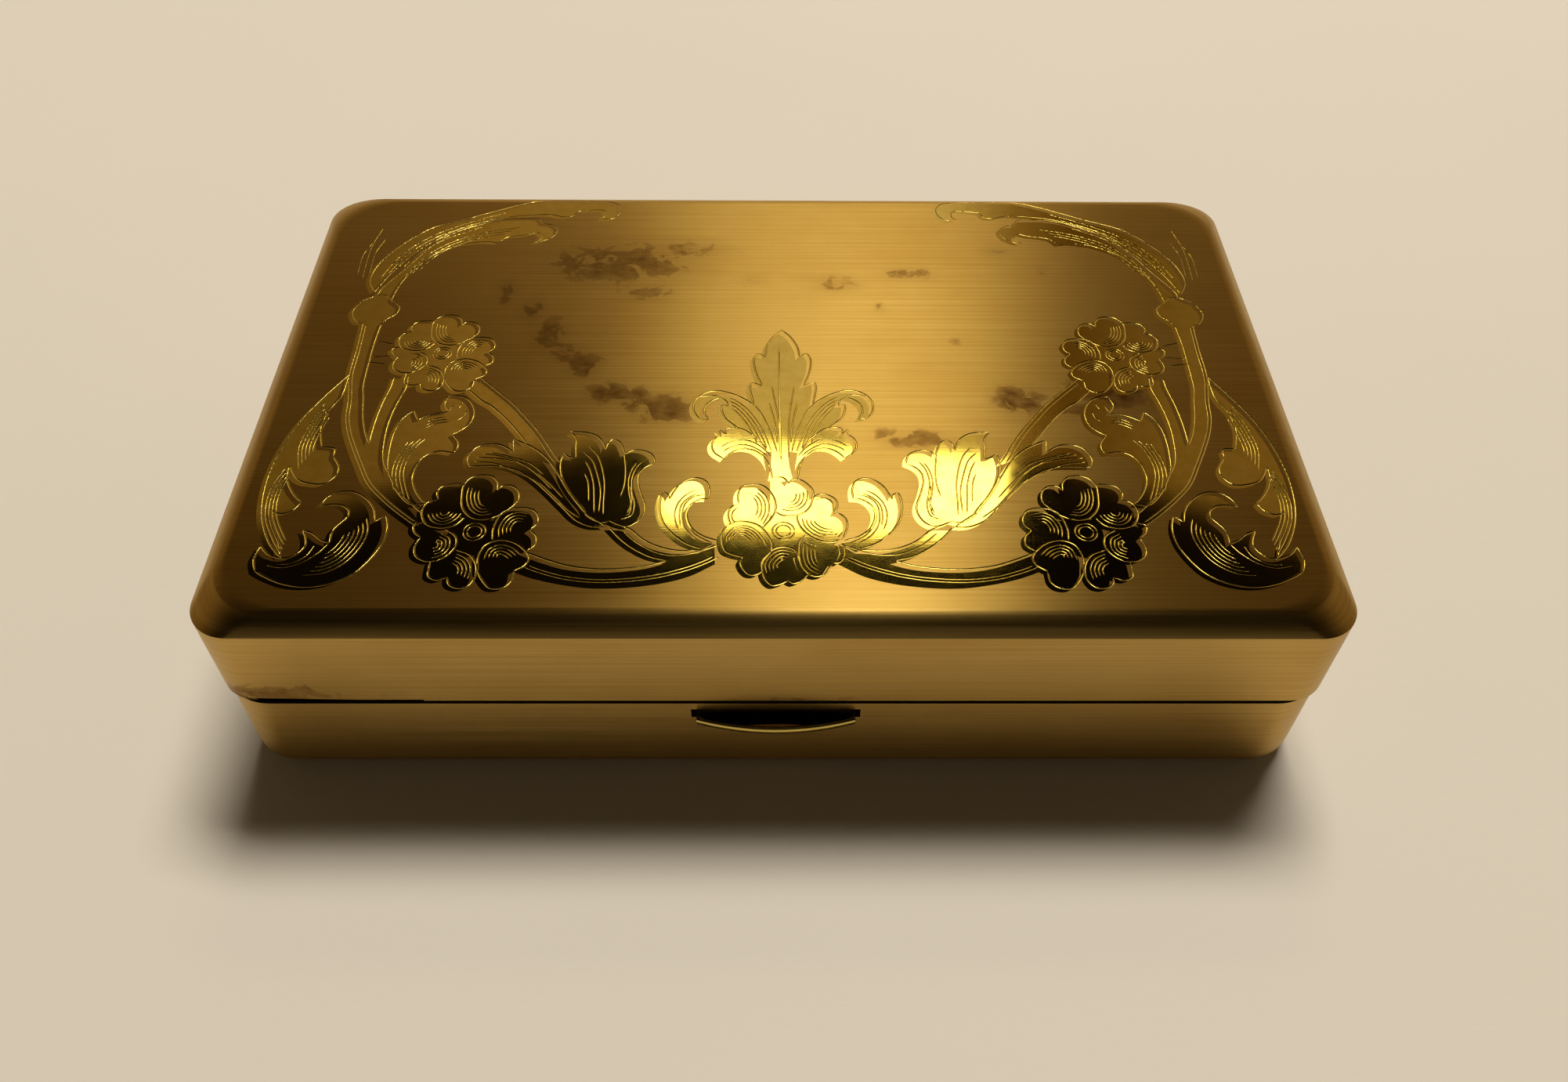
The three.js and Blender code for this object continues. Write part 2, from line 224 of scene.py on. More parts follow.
def lid_ring(inset, z, extra_x=(), depth=0.0):
    """A ring of the lid's outer face, or of one at a depth inside it. Its corners grow rounder inwards."""
    return plan_ring(inset + depth, LID_CORNER + LID_CORNER_GROWTH * inset - depth, z, extra_x)


def base_ring(inset, z, extra_x=()):
    return plan_ring(inset, BASE_CORNER - inset, z, extra_x)


def inset_of(x, y):
    """How far in from the lid's wall the ring lies that passes through a point of the plan."""
    straight = min(HALF_X - abs(x), HALF_Y - abs(y))
    qx = abs(x) - (HALF_X - LID_CORNER)
    qy = abs(y) - (HALF_Y - LID_CORNER)
    k = 1 + LID_CORNER_GROWTH
    if min(qx, qy) + k * straight <= 0:
        return straight
    a = 2 * k**2 - LID_CORNER_GROWTH**2
    b = 2 * (k * (qx + qy) - LID_CORNER_GROWTH * LID_CORNER)
    c = qx**2 + qy**2 - LID_CORNER**2
    return (math.sqrt(b * b - 4 * a * c) - b) / (2 * a)


def lid_height(x, y):
    """The height of the lid's outer surface over a point of the plan."""
    inset = min(max(inset_of(x, y), 0), SHOULDER_RUN)
    return TOP_Z - SHOULDER_DROP * (1 - inset / SHOULDER_RUN) ** 2

# ---------- the engraved ornament ----------
# A shape is a list of strokes. Each stroke goes on from the end of the one before, with a corner between.

PATTERN_SCALE = (0.997, 1.02)
PATTERN_OFFSET = (0.57, -0.83)
RIGHT_TURN = math.radians(0.55)
LEFT_TURN = math.radians(-0.45)
PATTERN_AXIS = -0.17
POLISH_SHIFT = np.array([-0.4, -0.38])
OUTLINE_WIDTH = 0.1
HATCH_WIDTH = 0.08
HATCH_GAP = 0.33
CUT_DEPTH = 0.065
CURVE_STEP = 0.28
DOT_SIDES = 16
REAR_CUTS = 0.6
FRONT_FLOWER, REAR_FLOWER = (25.85, -18.45), (32.45, 3.75)
REAR_FLOWER_SCALE = (0.93, 0.86)


class Ornament:
    """Collects cut lines as (line, half width, depth) and polished areas as closed polygons."""

    def __init__(self):
        self.cuts = []
        self.polished = []

    def line(self, *points, half=HATCH_WIDTH, depth=CUT_DEPTH):
        self.cuts.append((spline(points, CURVE_STEP), half, depth))

    def edge(self, *points):
        self.line(*points, half=OUTLINE_WIDTH)

    def shape(self, *strokes, close=()):
        """Cuts a shape's strokes and polishes the area that they close, by way of the points in close."""
        start = []
        area = []
        for stroke in strokes:
            points = start + stroke
            line = spline(points, CURVE_STEP)
            self.cuts.append((line, OUTLINE_WIDTH, CUT_DEPTH))
            area.extend(line)
            start = [stroke[-1]]
        area.extend(np.array(q) for q in close)
        self.polished.append(np.array(area))

    def area(self, *curves):
        """Polishes the area inside several curves, joined end to end."""
        self.polished.append(np.concatenate([spline(curve, CURVE_STEP) for curve in curves]))

    def hatch(self, *points, count=4, gap=HATCH_GAP, shrink=0.06):
        """Parallel cuts beside a curve, on its left for a positive gap, each a little shorter."""
        base = spline(points, CURVE_STEP)
        for index in range(count):
            line = base + normals_2d(base) * gap * index
            line = trimmed(line, shrink * index * 0.8, 1 - shrink * index)
            self.cuts.append((line, HATCH_WIDTH, CUT_DEPTH * 0.9))

    def ring(self, x, y, radius):
        turn = [k * math.tau / DOT_SIDES for k in range(DOT_SIDES + 1)]
        self.line(*[(x + radius * math.cos(a), y + radius * math.sin(a)) for a in turn])

    def lighter(self, part):
        """The same ornament with narrower and shallower cuts."""
        light = Ornament()
        light.cuts = [(line, half * part, depth * part) for line, half, depth in self.cuts]
        light.polished = self.polished
        return light

    def placed(self, move):
        """The same ornament with its points moved by a function."""
        moved = Ornament()
        moved.cuts = [(move(line), half, depth) for line, half, depth in self.cuts]
        moved.polished = [move(area) for area in self.polished]
        return moved

    def mirrored(self, axis):
        """The same ornament on the other side of x = axis."""
        return self.placed(lambda line: line * (-1, 1) + (2 * axis, 0))

    def add(self, other):
        self.cuts += other.cuts
        self.polished += other.polished


def palmette():
    """The upright leaf in the middle, with two curls on each side."""
    half = Ornament()
    half.shape(
        [(0, 7.4), (0.75, 6.6), (1.35, 5.5), (1.65, 4.55), (1.75, 3.45)],
        [(2.45, 4.05)],
        [(2.8, 3.2), (2.8, 2.3), (2.55, 1), (2.05, -0.5)],
        [(3.15, 0)],
        [(3.2, -0.9), (3, -2.2), (2.85, -3.05)],
        close=[(1.8, -5.1), (1.25, -6.9), (0.85, -8.6), (0.9, -10.4), (1.2, -12.2), (0, -12.3)],
    )
    half.line((2.85, -3.05), (2.3, -3.9), (1.8, -5.1), (1.25, -6.9), (0.85, -8.6), (0.75, -9.1))
    half.shape(
        [(2.85, -3.05), (3.7, -2.3), (4.8, -1.6), (6.2, -1.15), (7.3, -1.4), (8.1, -2.1), (8.45, -3.1),
         (8.3, -4.1), (7.8, -4.9)],
        [(7, -4.95)],
        [(7.4, -4.2), (7.35, -3.3), (6.9, -2.6), (5.95, -2.05)],
        [(5.4, -2.6), (5.2, -3.2)],
        [(5.85, -3)],
        [(5.8, -3.8), (5.4, -4.9), (4.75, -5.6), (4.3, -6.05)],
        close=[(3, -6.9), (1.7, -8.8), (0.8, -8.6), (1.25, -6.9), (1.8, -5.1)],
    )
    half.line((6.1, -1.85), (6.9, -1.75), (7.9, -1.95))
    half.shape(
        [(1.7, -8.8), (2.3, -7.7), (3, -6.9), (4, -6.15), (4.7, -6), (5.5, -6.15)],
        [(5.35, -6.85)],
        [(6.05, -6.2)],
        [(5.85, -6.85)],
        [(6.4, -7.4), (6.65, -8.2), (6.4, -9.1), (5.5, -9.9)],
        [(5.15, -9.4), (4.5, -8.85), (3.8, -8.65), (2.9, -8.8), (2.1, -9.5), (1.5, -10.6), (1.2, -12.3)],
    )
    half.line((1.15, -0.6), (0.6, -5), (0.45, -9.8))
    half.line((1.4, -2.8), (0.9, -5.5), (0.7, -8))
    half.hatch((5.2, -2), (3.9, -3.1), (2.8, -4.7), (1.9, -6.8), (1.2, -9))
    half.line((1.3, -9.6), (2.2, -8.4), (3.3, -7.65), (4.4, -7.6), (5.3, -8), (5.8, -8.4))
    half.line((1.6, -9.6), (2.4, -8.8), (3.4, -8.2), (4.3, -8.2), (5.2, -8.6), (5.6, -9))
    half.line((1.35, -10.9), (1.9, -9.8), (2.8, -9), (3.8, -8.45))
    whole = half.mirrored(0.1)
    whole.add(half)
    whole.line((-0.2, 4.4), (-0.25, 0), (-0.25, -5), (-0.2, -10))
    return whole


def centre_flower():
    flower = Ornament()
    flower.ring(-0.13, -18.3, 0.95)
    flower.ring(-0.13, -18.3, 0.62)
    flower.area(
        [(0, -16.2), (2, -17.2), (1.9, -19.4), (0.9, -21), (-1.3, -21), (-2.1, -19.2), (-2, -17.2),
         (0, -16.2)],
    )
    flower.shape(
        [(-0.8, -12.15), (-0.1, -12.15), (0.45, -12.9)],
        [(0.7, -12.45), (1.35, -12.4), (2, -12.9), (2.5, -13.7), (2.5, -14.5), (2.2, -15.6), (1.6, -16.3),
         (0.9, -16.55), (-0.2, -16.55), (-0.8, -16.1)],
    )
    flower.hatch(
        (2, -13.6), (2, -14.6), (1.7, -15.4), (1.1, -15.9), (0.2, -16), (-0.3, -15.8), gap=-HATCH_GAP,
    )
    flower.shape(
        [(2.5, -14.5), (3.1, -14.15), (3.8, -14.25), (4.4, -14.7), (4.6, -15.3), (4.4, -16.1),
         (4.25, -16.4)],
        [(4.7, -16.4), (5.2, -16.9), (5.35, -17.6), (5.2, -18.4), (4.9, -19.2)],
        [(4.4, -19.5), (3.6, -19.6), (2.6, -19.2), (1.7, -18.4), (1.2, -17.5), (1.1, -16.7), (1.6, -16.3)],
    )
    flower.hatch((1.5, -16.8), (1.7, -17.8), (2.5, -18.7), (3.5, -19.1), (4.5, -19), (4.9, -18.4))
    flower.line((2.7, -14.8), (3.5, -14.6), (4.1, -15), (4.2, -15.8), (4.3, -16.3))
    flower.shape(
        [(1.7, -18.75), (1.3, -19.3), (1.15, -20.3), (1.2, -21.5), (1.5, -22.4), (2, -23), (2.6, -23.2),
         (3.2, -23), (3.5, -22.5), (3.9, -21.8)],
        [(4.4, -21.8), (4.9, -21.2), (5, -20.4), (4.85, -19.6)],
    )
    flower.hatch((1.6, -19.4), (1.5, -20.5), (1.6, -21.6), (2, -22.4), (2.7, -22.9))
    flower.line((4.5, -20), (4.55, -20.8), (4.3, -21.5))
    flower.shape(
        [(-1.25, -20.6), (-1.95, -21.5), (-1.95, -22.6), (-1.7, -23.5), (-1.1, -24.1), (-0.5, -24),
         (-0.1, -23.8), (0.15, -23.6)],
        [(0.6, -23.9), (1.2, -23.7), (1.75, -23.1), (2, -23)],
        [(1.4, -22.2), (1, -20.8)],
        [(0.7, -20.3), (0, -20.05), (-0.8, -20.2), (-1.4, -20.6)],
    )
    flower.hatch(
        (-1.6, -22.8), (-1.7, -21.8), (-1.2, -20.9), (-0.4, -20.4), (0.4, -20.5), (0.9, -20.7),
        gap=-HATCH_GAP,
    )
    flower.shape(
        [(-3.6, -21.1), (-3.8, -21.6), (-3.6, -22.3), (-3.1, -22.9), (-2.5, -23), (-2, -22.7)],
        [(-1.9, -21.6), (-1.25, -20.6)],
        [(-1.15, -19.8), (-1.5, -18.7), (-2.2, -17.7), (-3.2, -17.25), (-4.2, -17.25), (-4.95, -17.65)],
        [(-5.35, -18.4), (-5.4, -19.4), (-5.1, -20.4), (-4.5, -20.8), (-3.6, -21.1)],
    )
    flower.hatch(
        (-5, -19.6), (-4.9, -18.6), (-4.3, -17.9), (-3.4, -17.7), (-2.6, -18.1), (-2, -18.9), (-1.6, -20),
        count=5, gap=-0.26,
    )
    flower.shape(
        [(-1.9, -17.95), (-1, -16.6), (-0.75, -15.7), (-0.85, -14.7), (-1.3, -13.7), (-2, -13.05),
         (-2.8, -13), (-3.5, -13.1), (-3.9, -13.6), (-4.05, -14.5), (-3.95, -15.2)],
        [(-4.5, -15.5), (-4.85, -16.2), (-4.8, -17), (-4.6, -17.5)],
    )
    flower.hatch(
        (-2.4, -13.4), (-1.7, -14.2), (-1.35, -15.2), (-1.4, -16.4), (-1.9, -17.6), gap=-HATCH_GAP,
    )
    flower.line((-4.1, -15.6), (-4.5, -16.2), (-4.5, -17), (-4.2, -17.3))
    return flower


def c_scroll(side):
    side.shape(
        [(5, -19.4), (6.2, -19), (7.2, -18.2), (7.7, -17.2), (7.8, -16.2), (7.4, -15.3), (6.8, -14.8),
         (6, -14.7)],
        [(6, -13.5), (6.3, -12.7), (7, -12.3), (7.9, -12.5), (8.6, -13.1), (9.1, -14), (9.4, -14.8)],
        [(9.55, -14.3), (10, -13.95)],
        [(10.2, -15), (10.15, -16.2), (9.7, -17.6), (8.8, -18.8), (7.6, -19.8), (6.3, -20.3)],
    )
    side.line((6.9, -14.8), (7.6, -15.5), (7.9, -16.5), (7.6, -17.8), (6.8, -18.9), (5.5, -19.7))
    side.line((6.5, -14.25), (7.3, -14.5), (8, -15.3), (8.2, -16.5), (8, -17.8), (7.2, -19), (6.2, -19.7))
    side.line((6.9, -14.05), (7.6, -14.5), (8.3, -15.4), (8.45, -16.6), (8.3, -17.8))
    side.line((7.1, -13.7), (7.9, -14.2), (8.6, -15.2), (8.85, -16.4), (8.7, -17.5), (8.4, -18.3))


def swag_and_stem(side):
    """The hanging band between the flowers, and the tulip's stem that leaves it."""
    lower = [(4.9, -21.2), (6.2, -22), (8, -22.8), (10, -23.4), (12.5, -23.8), (15, -23.9), (17.5, -23.6),
             (19.5, -23), (21, -22.4)]
    upper = [(9.1, -21.6), (10.5, -22.1), (12.5, -22.45), (15, -22.55), (17.5, -22.2), (19.5, -21.5),
             (21.1, -20.8)]
    stem_upper = [(6.3, -20.45), (8.5, -20.5), (10, -20.1), (11.3, -19.4), (12.6, -18.2), (13.1, -18)]
    stem_lower = [(9.1, -21.6), (10.6, -21.2), (12, -20.4), (13.2, -19.4), (14.4, -18)]
    side.hatch(*lower, count=2, gap=0.3, shrink=0.02)
    side.edge(*upper)
    side.edge(*stem_upper)
    side.edge(*stem_lower)
    side.line((4.9, -19.9), (7.5, -20.9), (9.6, -20.9), (11.6, -19.9), (13, -18.6))
    spill = [(4.8, -21.6), (6.9, -22.9), (9.4, -23.7), (12.4, -24.15), (14.9, -24.2), (17.4, -23.85),
             (19.9, -23.2), (21.6, -22.5)]
    side.area(spill, upper[::-1], stem_lower, stem_upper[::-1], [(6.3, -20.45), (4.9, -19.4)])


def tulip(side):
    side.shape(
        [(14.4, -17.3), (13.6, -17.7), (12.8, -17.9), (12, -17.4), (11.5, -16.4), (11.5, -15.5),
         (12, -14), (12.3, -12.8), (12.25, -11.8), (11.8, -11.1), (11, -10.6)],
        [(11.05, -10), (11.4, -9.4), (12.2, -9), (13, -9), (13.7, -9.5)],
        [(13.9, -8.9), (14.3, -8), (14.9, -7.6)],
        [(15.3, -8.1), (15.5, -9)],
        [(15.8, -8.1), (16.4, -7.3), (17.3, -6.85), (18.9, -6.7)],
        [(18.3, -7.6), (18.2, -8.6), (18.05, -10)],
        [(18.6, -9.9), (19.2, -9.45)],
        [(19.35, -10.7), (19, -12.4), (18, -14.3), (16.8, -15.9), (16.4, -16.7), (15, -17.5),
         (14.4, -17.3)],
    )
    side.line((13.8, -9.4), (13.55, -11), (13.45, -13), (13.7, -14.5))
    side.hatch(
        (12.1, -10.3), (12.6, -11.2), (12.85, -12.5), (12.7, -14), (12.4, -15.5), (12.6, -16.7),
        (13.4, -17.1), count=2, gap=0.28,
    )
    side.line((12.95, -13.2), (12.65, -15), (12.95, -16.4))
    side.line((17, -8.6), (16.2, -9.6), (15.6, -11.2), (15.2, -13.2), (15.1, -15.2), (15, -16.6))
    side.line((17.4, -9.3), (16.6, -10.2), (16, -11.8), (15.5, -13.8), (15.4, -16.3))
    side.line((17.2, -10.3), (16.7, -11.3), (16.2, -13), (16, -14.5), (15.8, -16.4))
    side.line((17.1, -11.8), (16.7, -12.8), (16.5, -14.1), (16.4, -15.1))


def sepal(side):
    side.shape(
        [(16.6, -16.4), (15.8, -17), (14.6, -17.95)],
        [(15.8, -17.95), (17.2, -17.3), (18.6, -15.8), (20.2, -14), (21.6, -12.6), (23, -11.6),
         (24.5, -11.1), (27.4, -11.1)],
        [(27.7, -10.2), (27.4, -9.2), (26.6, -8.5), (25.2, -8.4), (23.7, -9.3)],
        [(23.95, -7.75)],
        [(22.7, -8.35), (21.6, -9.1), (20.4, -10.4), (19.4, -12), (18.2, -14.1), (16.6, -16.4)],
    )
    side.line((19.8, -13.7), (21, -12.3), (22.6, -10.9), (24.5, -10.2), (26.9, -10))
    side.line((18.7, -14.7), (20.2, -12.9), (21.8, -11.4), (23.5, -10.3), (25.5, -9.7), (26.4, -9.6))
    side.line((20.7, -12), (22.2, -10.6), (24, -9.9), (25.8, -9.4))
    side.line(
        (17, -17), (18.3, -15.9), (19.6, -14.4), (21.2, -12.8), (23, -11.8), (25, -10.8), (27, -10.5),
    )


def diagonal_band(side):
    left = [(19.4, -10.6), (20.3, -9.2), (21.2, -7.7), (22.2, -6.2), (23.3, -4.8), (24.6, -3.2),
            (26, -1.8), (28.2, 0.3)]
    right = [(22.7, -8.3), (23.2, -7.5), (24.3, -6), (25.5, -4.6), (26.6, -3.5), (27.6, -2.8), (29, -1.4)]
    side.edge(*left)
    side.hatch(*left, count=2, gap=-0.4, shrink=0.03)
    side.edge(*right)
    side.area(left, right[::-1], [(22.7, -8.3), (20.8, -10)])


def corner_flower(side):
    side.ring(25.75, -18.6, 0.95)
    side.ring(25.75, -18.6, 0.62)
    side.area(
        [(24, -17), (25.6, -16.9), (27.2, -17), (27.6, -18.5), (27.2, -20.7), (25.6, -21.1), (24, -20),
         (24, -17)],
    )
    side.shape(
        [(24.5, -17.1), (23.8, -16.7), (23.1, -16), (22.5, -15), (22.7, -13.9), (23.4, -13.35),
         (24.1, -13.4), (24.5, -13.9)],
        [(24.6, -13), (25.2, -12.3), (26.2, -12.15), (27, -12.5), (27.5, -13.3), (27.5, -14.5),
         (27.2, -16), (26.3, -17), (25.3, -17.25), (24.5, -17.1)],
    )
    side.hatch((27.05, -13.5), (27, -14.9), (26.5, -16.1), (25.6, -16.7), (24.6, -16.6), gap=-HATCH_GAP)
    side.shape(
        [(27.5, -13.2), (28.4, -13.2), (29.3, -13.5), (29.7, -14.2), (29.45, -15)],
        [(30.2, -15.3), (30.6, -16), (30.5, -17), (30, -17.8), (28.8, -18.2), (27.5, -17.9), (26.8, -17)],
    )
    side.hatch((27.2, -16.6), (27.7, -17.4), (28.7, -17.8), (29.6, -17.4), (30.1, -16.6))
    side.shape(
        [(30.2, -17.6), (31, -17.9), (30.9, -18.6), (30.2, -19.3)],
        [(30.5, -20.2), (30.3, -21.2), (29.4, -21.8), (28.4, -21.8)],
        [(27.6, -21.2), (27.1, -20.2), (27.2, -19.3), (27.6, -18.8), (28.3, -18.4)],
    )
    side.hatch((28.6, -18.8), (27.8, -19.3), (27.6, -20.2), (27.9, -21), (28.8, -21.5))
    side.shape(
        [(28.9, -21.9), (28.9, -22.5), (28.8, -23.4), (28, -23.8), (27.2, -23.5)],
        [(27, -24.2), (26.3, -24.6), (25.5, -24.5), (25, -23.8), (25, -22.4), (25.8, -21.1), (27, -20.6)],
    )
    side.hatch((26.9, -21), (26, -21.5), (25.45, -22.5), (25.5, -23.7))
    side.shape(
        [(24.8, -22.9), (24.5, -23.5), (23.5, -24.6), (22.4, -24.5), (21.9, -23.9), (21.8, -22.8)],
        [(21, -22.2), (20.75, -21.5), (21, -20.9), (22, -19.9), (23.3, -19.5), (24.5, -20), (25, -21.2),
         (24.8, -22.9)],
    )
    side.hatch((21.5, -21.1), (22.3, -20.3), (23.3, -20), (24.2, -20.5), (24.5, -21.6), gap=-HATCH_GAP)
    side.shape(
        [(21, -20.6), (20.4, -20), (20.5, -19), (21.1, -18.4)],
        [(20.6, -17.8), (20.5, -17.1), (21, -16.2), (22, -15.9), (23.1, -16.1), (23.8, -16.7),
         (24.2, -18.2), (24.1, -19.5)],
    )
    side.hatch((21.3, -16.6), (22.3, -16.4), (23.2, -16.9), (23.7, -18), (23.6, -19.2), gap=-HATCH_GAP)


def s_leaf(side):
    side.shape(
        [(30.65, -2.2), (29.85, -2.2), (28.95, -2.6), (28.25, -3.6), (28, -4.8), (28.25, -5.9),
         (28.85, -6.7), (29.55, -7.2)],
        [(28.95, -8), (28.8, -8.7), (29.05, -9.5)],
        [(30.35, -9.3), (31.15, -9.6), (31.85, -10.4), (32.15, -11.6), (32.15, -12.7), (31.65, -14),
         (30.95, -15), (30.45, -15.5)],
        [(31.7, -15.6), (33, -14.4), (34.35, -12)],
        [(34.65, -10.9), (34.85, -9), (34.85, -7), (34.45, -5.3), (33.6, -4.2)],
        [(33.05, -5.4)],
        [(31.85, -4.7), (30.35, -4.3)],
        [(30.9, -3.3), (30.65, -2.2)],
    )
    side.hatch((31.85, -7.7), (32.65, -9), (33.05, -10.6), (33.05, -12), (32.65, -13.4), (31.95, -15.1))
    side.hatch((30.15, -5.6), (31.15, -5.8), (32.15, -6.4), count=3)
    side.line((29.25, -3), (29.55, -3.9))
    side.line((30.05, -3.2), (30.35, -4.2))
    side.line((28.75, -4.1), (28.95, -4.9), (29.45, -5.5))


def c_stem(side):
    """The large curve from the corner flower up the end of the lid, where it parts in two."""
    outer = [(30.9, -18), (33, -16.3), (34.6, -14.8), (36, -13.2), (37.3, -10.8), (38.3, -8.8),
             (39.1, -7), (39.7, -5), (39.95, -3), (40.6, 0.5), (40.7, 4), (40.9, 7.9)]
    inner = [(35, 0.4), (34.9, -1), (35.3, -3), (35.6, -5.5), (35.55, -8), (35.15, -10.5), (34.45, -11.9)]
    gap_left = [(36.3, 0.3), (36.35, -1), (36.65, -3), (36.85, -5.5), (36.85, -8.4)]
    gap_right = [(37.45, -7.2), (38.15, -5), (38.65, -2.5), (38.95, -1.2), (39.15, 2.5), (39.2, 5),
                 (39.1, 7.8)]
    side.hatch(*outer, count=2, gap=0.3, shrink=0.015)
    side.edge(*inner)
    side.edge(*gap_left)
    side.edge(gap_left[-1], *gap_right)
    side.edge((34.45, -11.9), (33, -14.2), (31.2, -16), (30.6, -16.6))
    tail = [(34.45, -11.9), (33, -14.2), (31.2, -16), (30.4, -17)]
    side.area(outer, gap_right[::-1], gap_left[::-1], inner, tail)
    for low, high in (((37.2, 4.8), (39, 5.3)), ((37.2, 3.2), (39, 3)), ((37.3, 2), (39.2, 2.3))):
        side.line(low, high)


def rear_flower(side):
    """The same flower as at the front corner, a little smaller and further back."""
    flower = Ornament()
    corner_flower(flower)
    side.add(flower.placed(lambda line: (line - FRONT_FLOWER) * REAR_FLOWER_SCALE + REAR_FLOWER))


def side_acanthus(side):
    """The long leaf that hangs from the upright stem down the end of the lid."""
    side.shape(
        [(40.6, 0.5), (42.2, -2.4), (43.6, -5.5), (44.5, -9), (44.8, -13), (44.2, -17), (42.8, -20),
         (41.4, -21.6)],
        [(42.2, -19.6), (43.3, -17.6), (43.7, -16.3)],
        [(42.7, -16.8), (41.7, -16.4), (41.2, -15.5)],
        [(42.3, -14.3), (43.1, -12.8), (43.3, -11.2)],
        [(42.2, -12.8), (41, -13.3), (39.8, -13.3), (39, -12.5), (38.9, -11.4), (39.7, -10)],
        [(39.8, -9.1), (41, -8.9)],
        [(41.6, -6.6), (41.5, -4.4)],
        [(40.7, -2.4), (40.6, 0.5)],
    )
    side.hatch((42, -3.4), (42.7, -6), (43, -9), (42.4, -11.6), count=5, gap=-0.32)
    side.hatch(
        (43.6, -11.6), (44.2, -14), (43.9, -17), (42.6, -19.6), (41.5, -21.2), gap=-0.3, shrink=0.04,
    )


def corner_acanthus(side):
    side.shape(
        [(43.2, -23), (42.4, -23.5), (40.6, -24.3), (38.6, -24.6), (36.6, -24.2), (35, -23.2),
         (33.9, -21.6), (33.3, -20), (33.2, -18.3), (33.6, -16.9)],
        [(34.4, -17.6)],
        [(34.8, -16.2), (35.7, -15), (37.1, -14.2), (38.3, -14.3), (39.1, -15), (39.5, -15.9)],
        [(38.6, -15.7), (37.6, -15.8), (36.9, -16.4), (36.85, -17.1), (37.3, -17.8), (37.75, -18.6),
         (37.75, -20)],
        [(38.6, -19.6), (39.5, -18.9), (40.3, -18.6)],
        [(39.9, -19.4), (39.7, -20.3), (40.1, -21.1), (40.8, -21.6), (41.6, -21.6), (42.6, -21.2),
         (43.4, -20.4)],
        [(43.6, -21.8), (43.2, -23)],
    )
    side.hatch(
        (35.2, -17.2), (34.8, -18.7), (35.1, -20.5), (36, -22.1), (37.4, -23.1), (39.1, -23.4), count=6,
        gap=0.38,
    )
    side.line((37.75, -20), (38.4, -21), (39.6, -22.1), (41, -22.6), (42.4, -22.4))
    side.line((38.9, -20.2), (39.3, -21.3), (40.3, -22.1), (41.6, -22.3))


def rear_leaves(side):
    """The long leaves that sweep from the upright stem round the rear corner."""
    side.shape(
        [(39.1, 7.8), (38.6, 8.6), (38, 9.2), (37.8, 10.3), (38.4, 11)],
        [(39.9, 12.2), (41.8, 11.2)],
        [(42.3, 9.5), (41.5, 8), (40.9, 7.9)],
    )
    side.shape(
        [(38.9, 11), (38.4, 14), (37.3, 16.6), (35.6, 18.9), (33.5, 20.3), (31.3, 20.9), (29.5, 20.8)],
        [(28.7, 21.7), (26.5, 22.2), (25.5, 22.5), (25, 21.8), (25.7, 20.9)],
        [(24.6, 21.3), (23.7, 22.2), (23.6, 23.2), (24.3, 23.9), (25.3, 24.1)],
        [(25.7, 24.9), (27, 25), (29, 24.9), (31, 24.3), (33, 23.3), (35.3, 21.5), (37, 19), (38.3, 16.5),
         (40.2, 13), (40.4, 12)],
    )
    side.hatch((38.2, 15.2), (36.4, 18.8), (33.8, 21.2), (30.8, 22.6), (27.6, 23.4), count=3, gap=0.4)
    side.shape(
        [(33, 25), (30, 26.5), (28, 27.4), (26, 28.1), (23.5, 28.3), (20.5, 28.2), (18.6, 28.1),
         (17.5, 27.6), (17.1, 26.6), (17.4, 25.6), (18.1, 25), (19.2, 25.1)],
        [(18.7, 25.6), (18.9, 26.5), (19.8, 26.6), (21.8, 26.3)],
        [(22.2, 25.5), (23.2, 25.3), (24.5, 25.7), (26.5, 25.6), (29, 25.2), (31.5, 24.3), (34.5, 22.6),
         (37.6, 19.4), (39.6, 15.8), (40.8, 12.6)],
        [(41.6, 14.4), (41.2, 17.2), (39.4, 20.4), (36.8, 23.2), (33, 25)],
    )
    side.hatch((40.6, 15), (39.2, 18.6), (36.6, 21.8), (33, 24.2), (29.4, 26), gap=0.45)
    for x, y, length in ((41.9, 15.2, 6), (42.5, 14.8, 8.5), (43.1, 15.2, 5.5)):
        side.line((x, y), (x + 0.1, y + length * 0.6), (x - 0.5, y + length))


def on_lid(ornament, angle):
    """Turns an ornament about the middle of the lid and moves it to where it sits."""
    turn = np.array([[math.cos(angle), math.sin(angle)], [-math.sin(angle), math.cos(angle)]])
    return ornament.placed(lambda line: line @ turn * PATTERN_SCALE + PATTERN_OFFSET)


def whole_ornament():
    """Every cut and polished area, in the lid's own frame."""
    side = Ornament()
    for part in (
        c_scroll, swag_and_stem, tulip, sepal, diagonal_band, corner_flower, s_leaf, c_stem, rear_flower,
        side_acanthus, corner_acanthus,
    ):
        part(side)
    rear = Ornament()
    rear_leaves(rear)
    side.add(rear.lighter(REAR_CUTS))
    middle = palmette()
    middle.add(centre_flower())
    whole = on_lid(middle, RIGHT_TURN)
    whole.add(on_lid(side.mirrored(PATTERN_AXIS), LEFT_TURN))
    whole.add(on_lid(side, RIGHT_TURN))
    return whole

# ---------- the two shells ----------

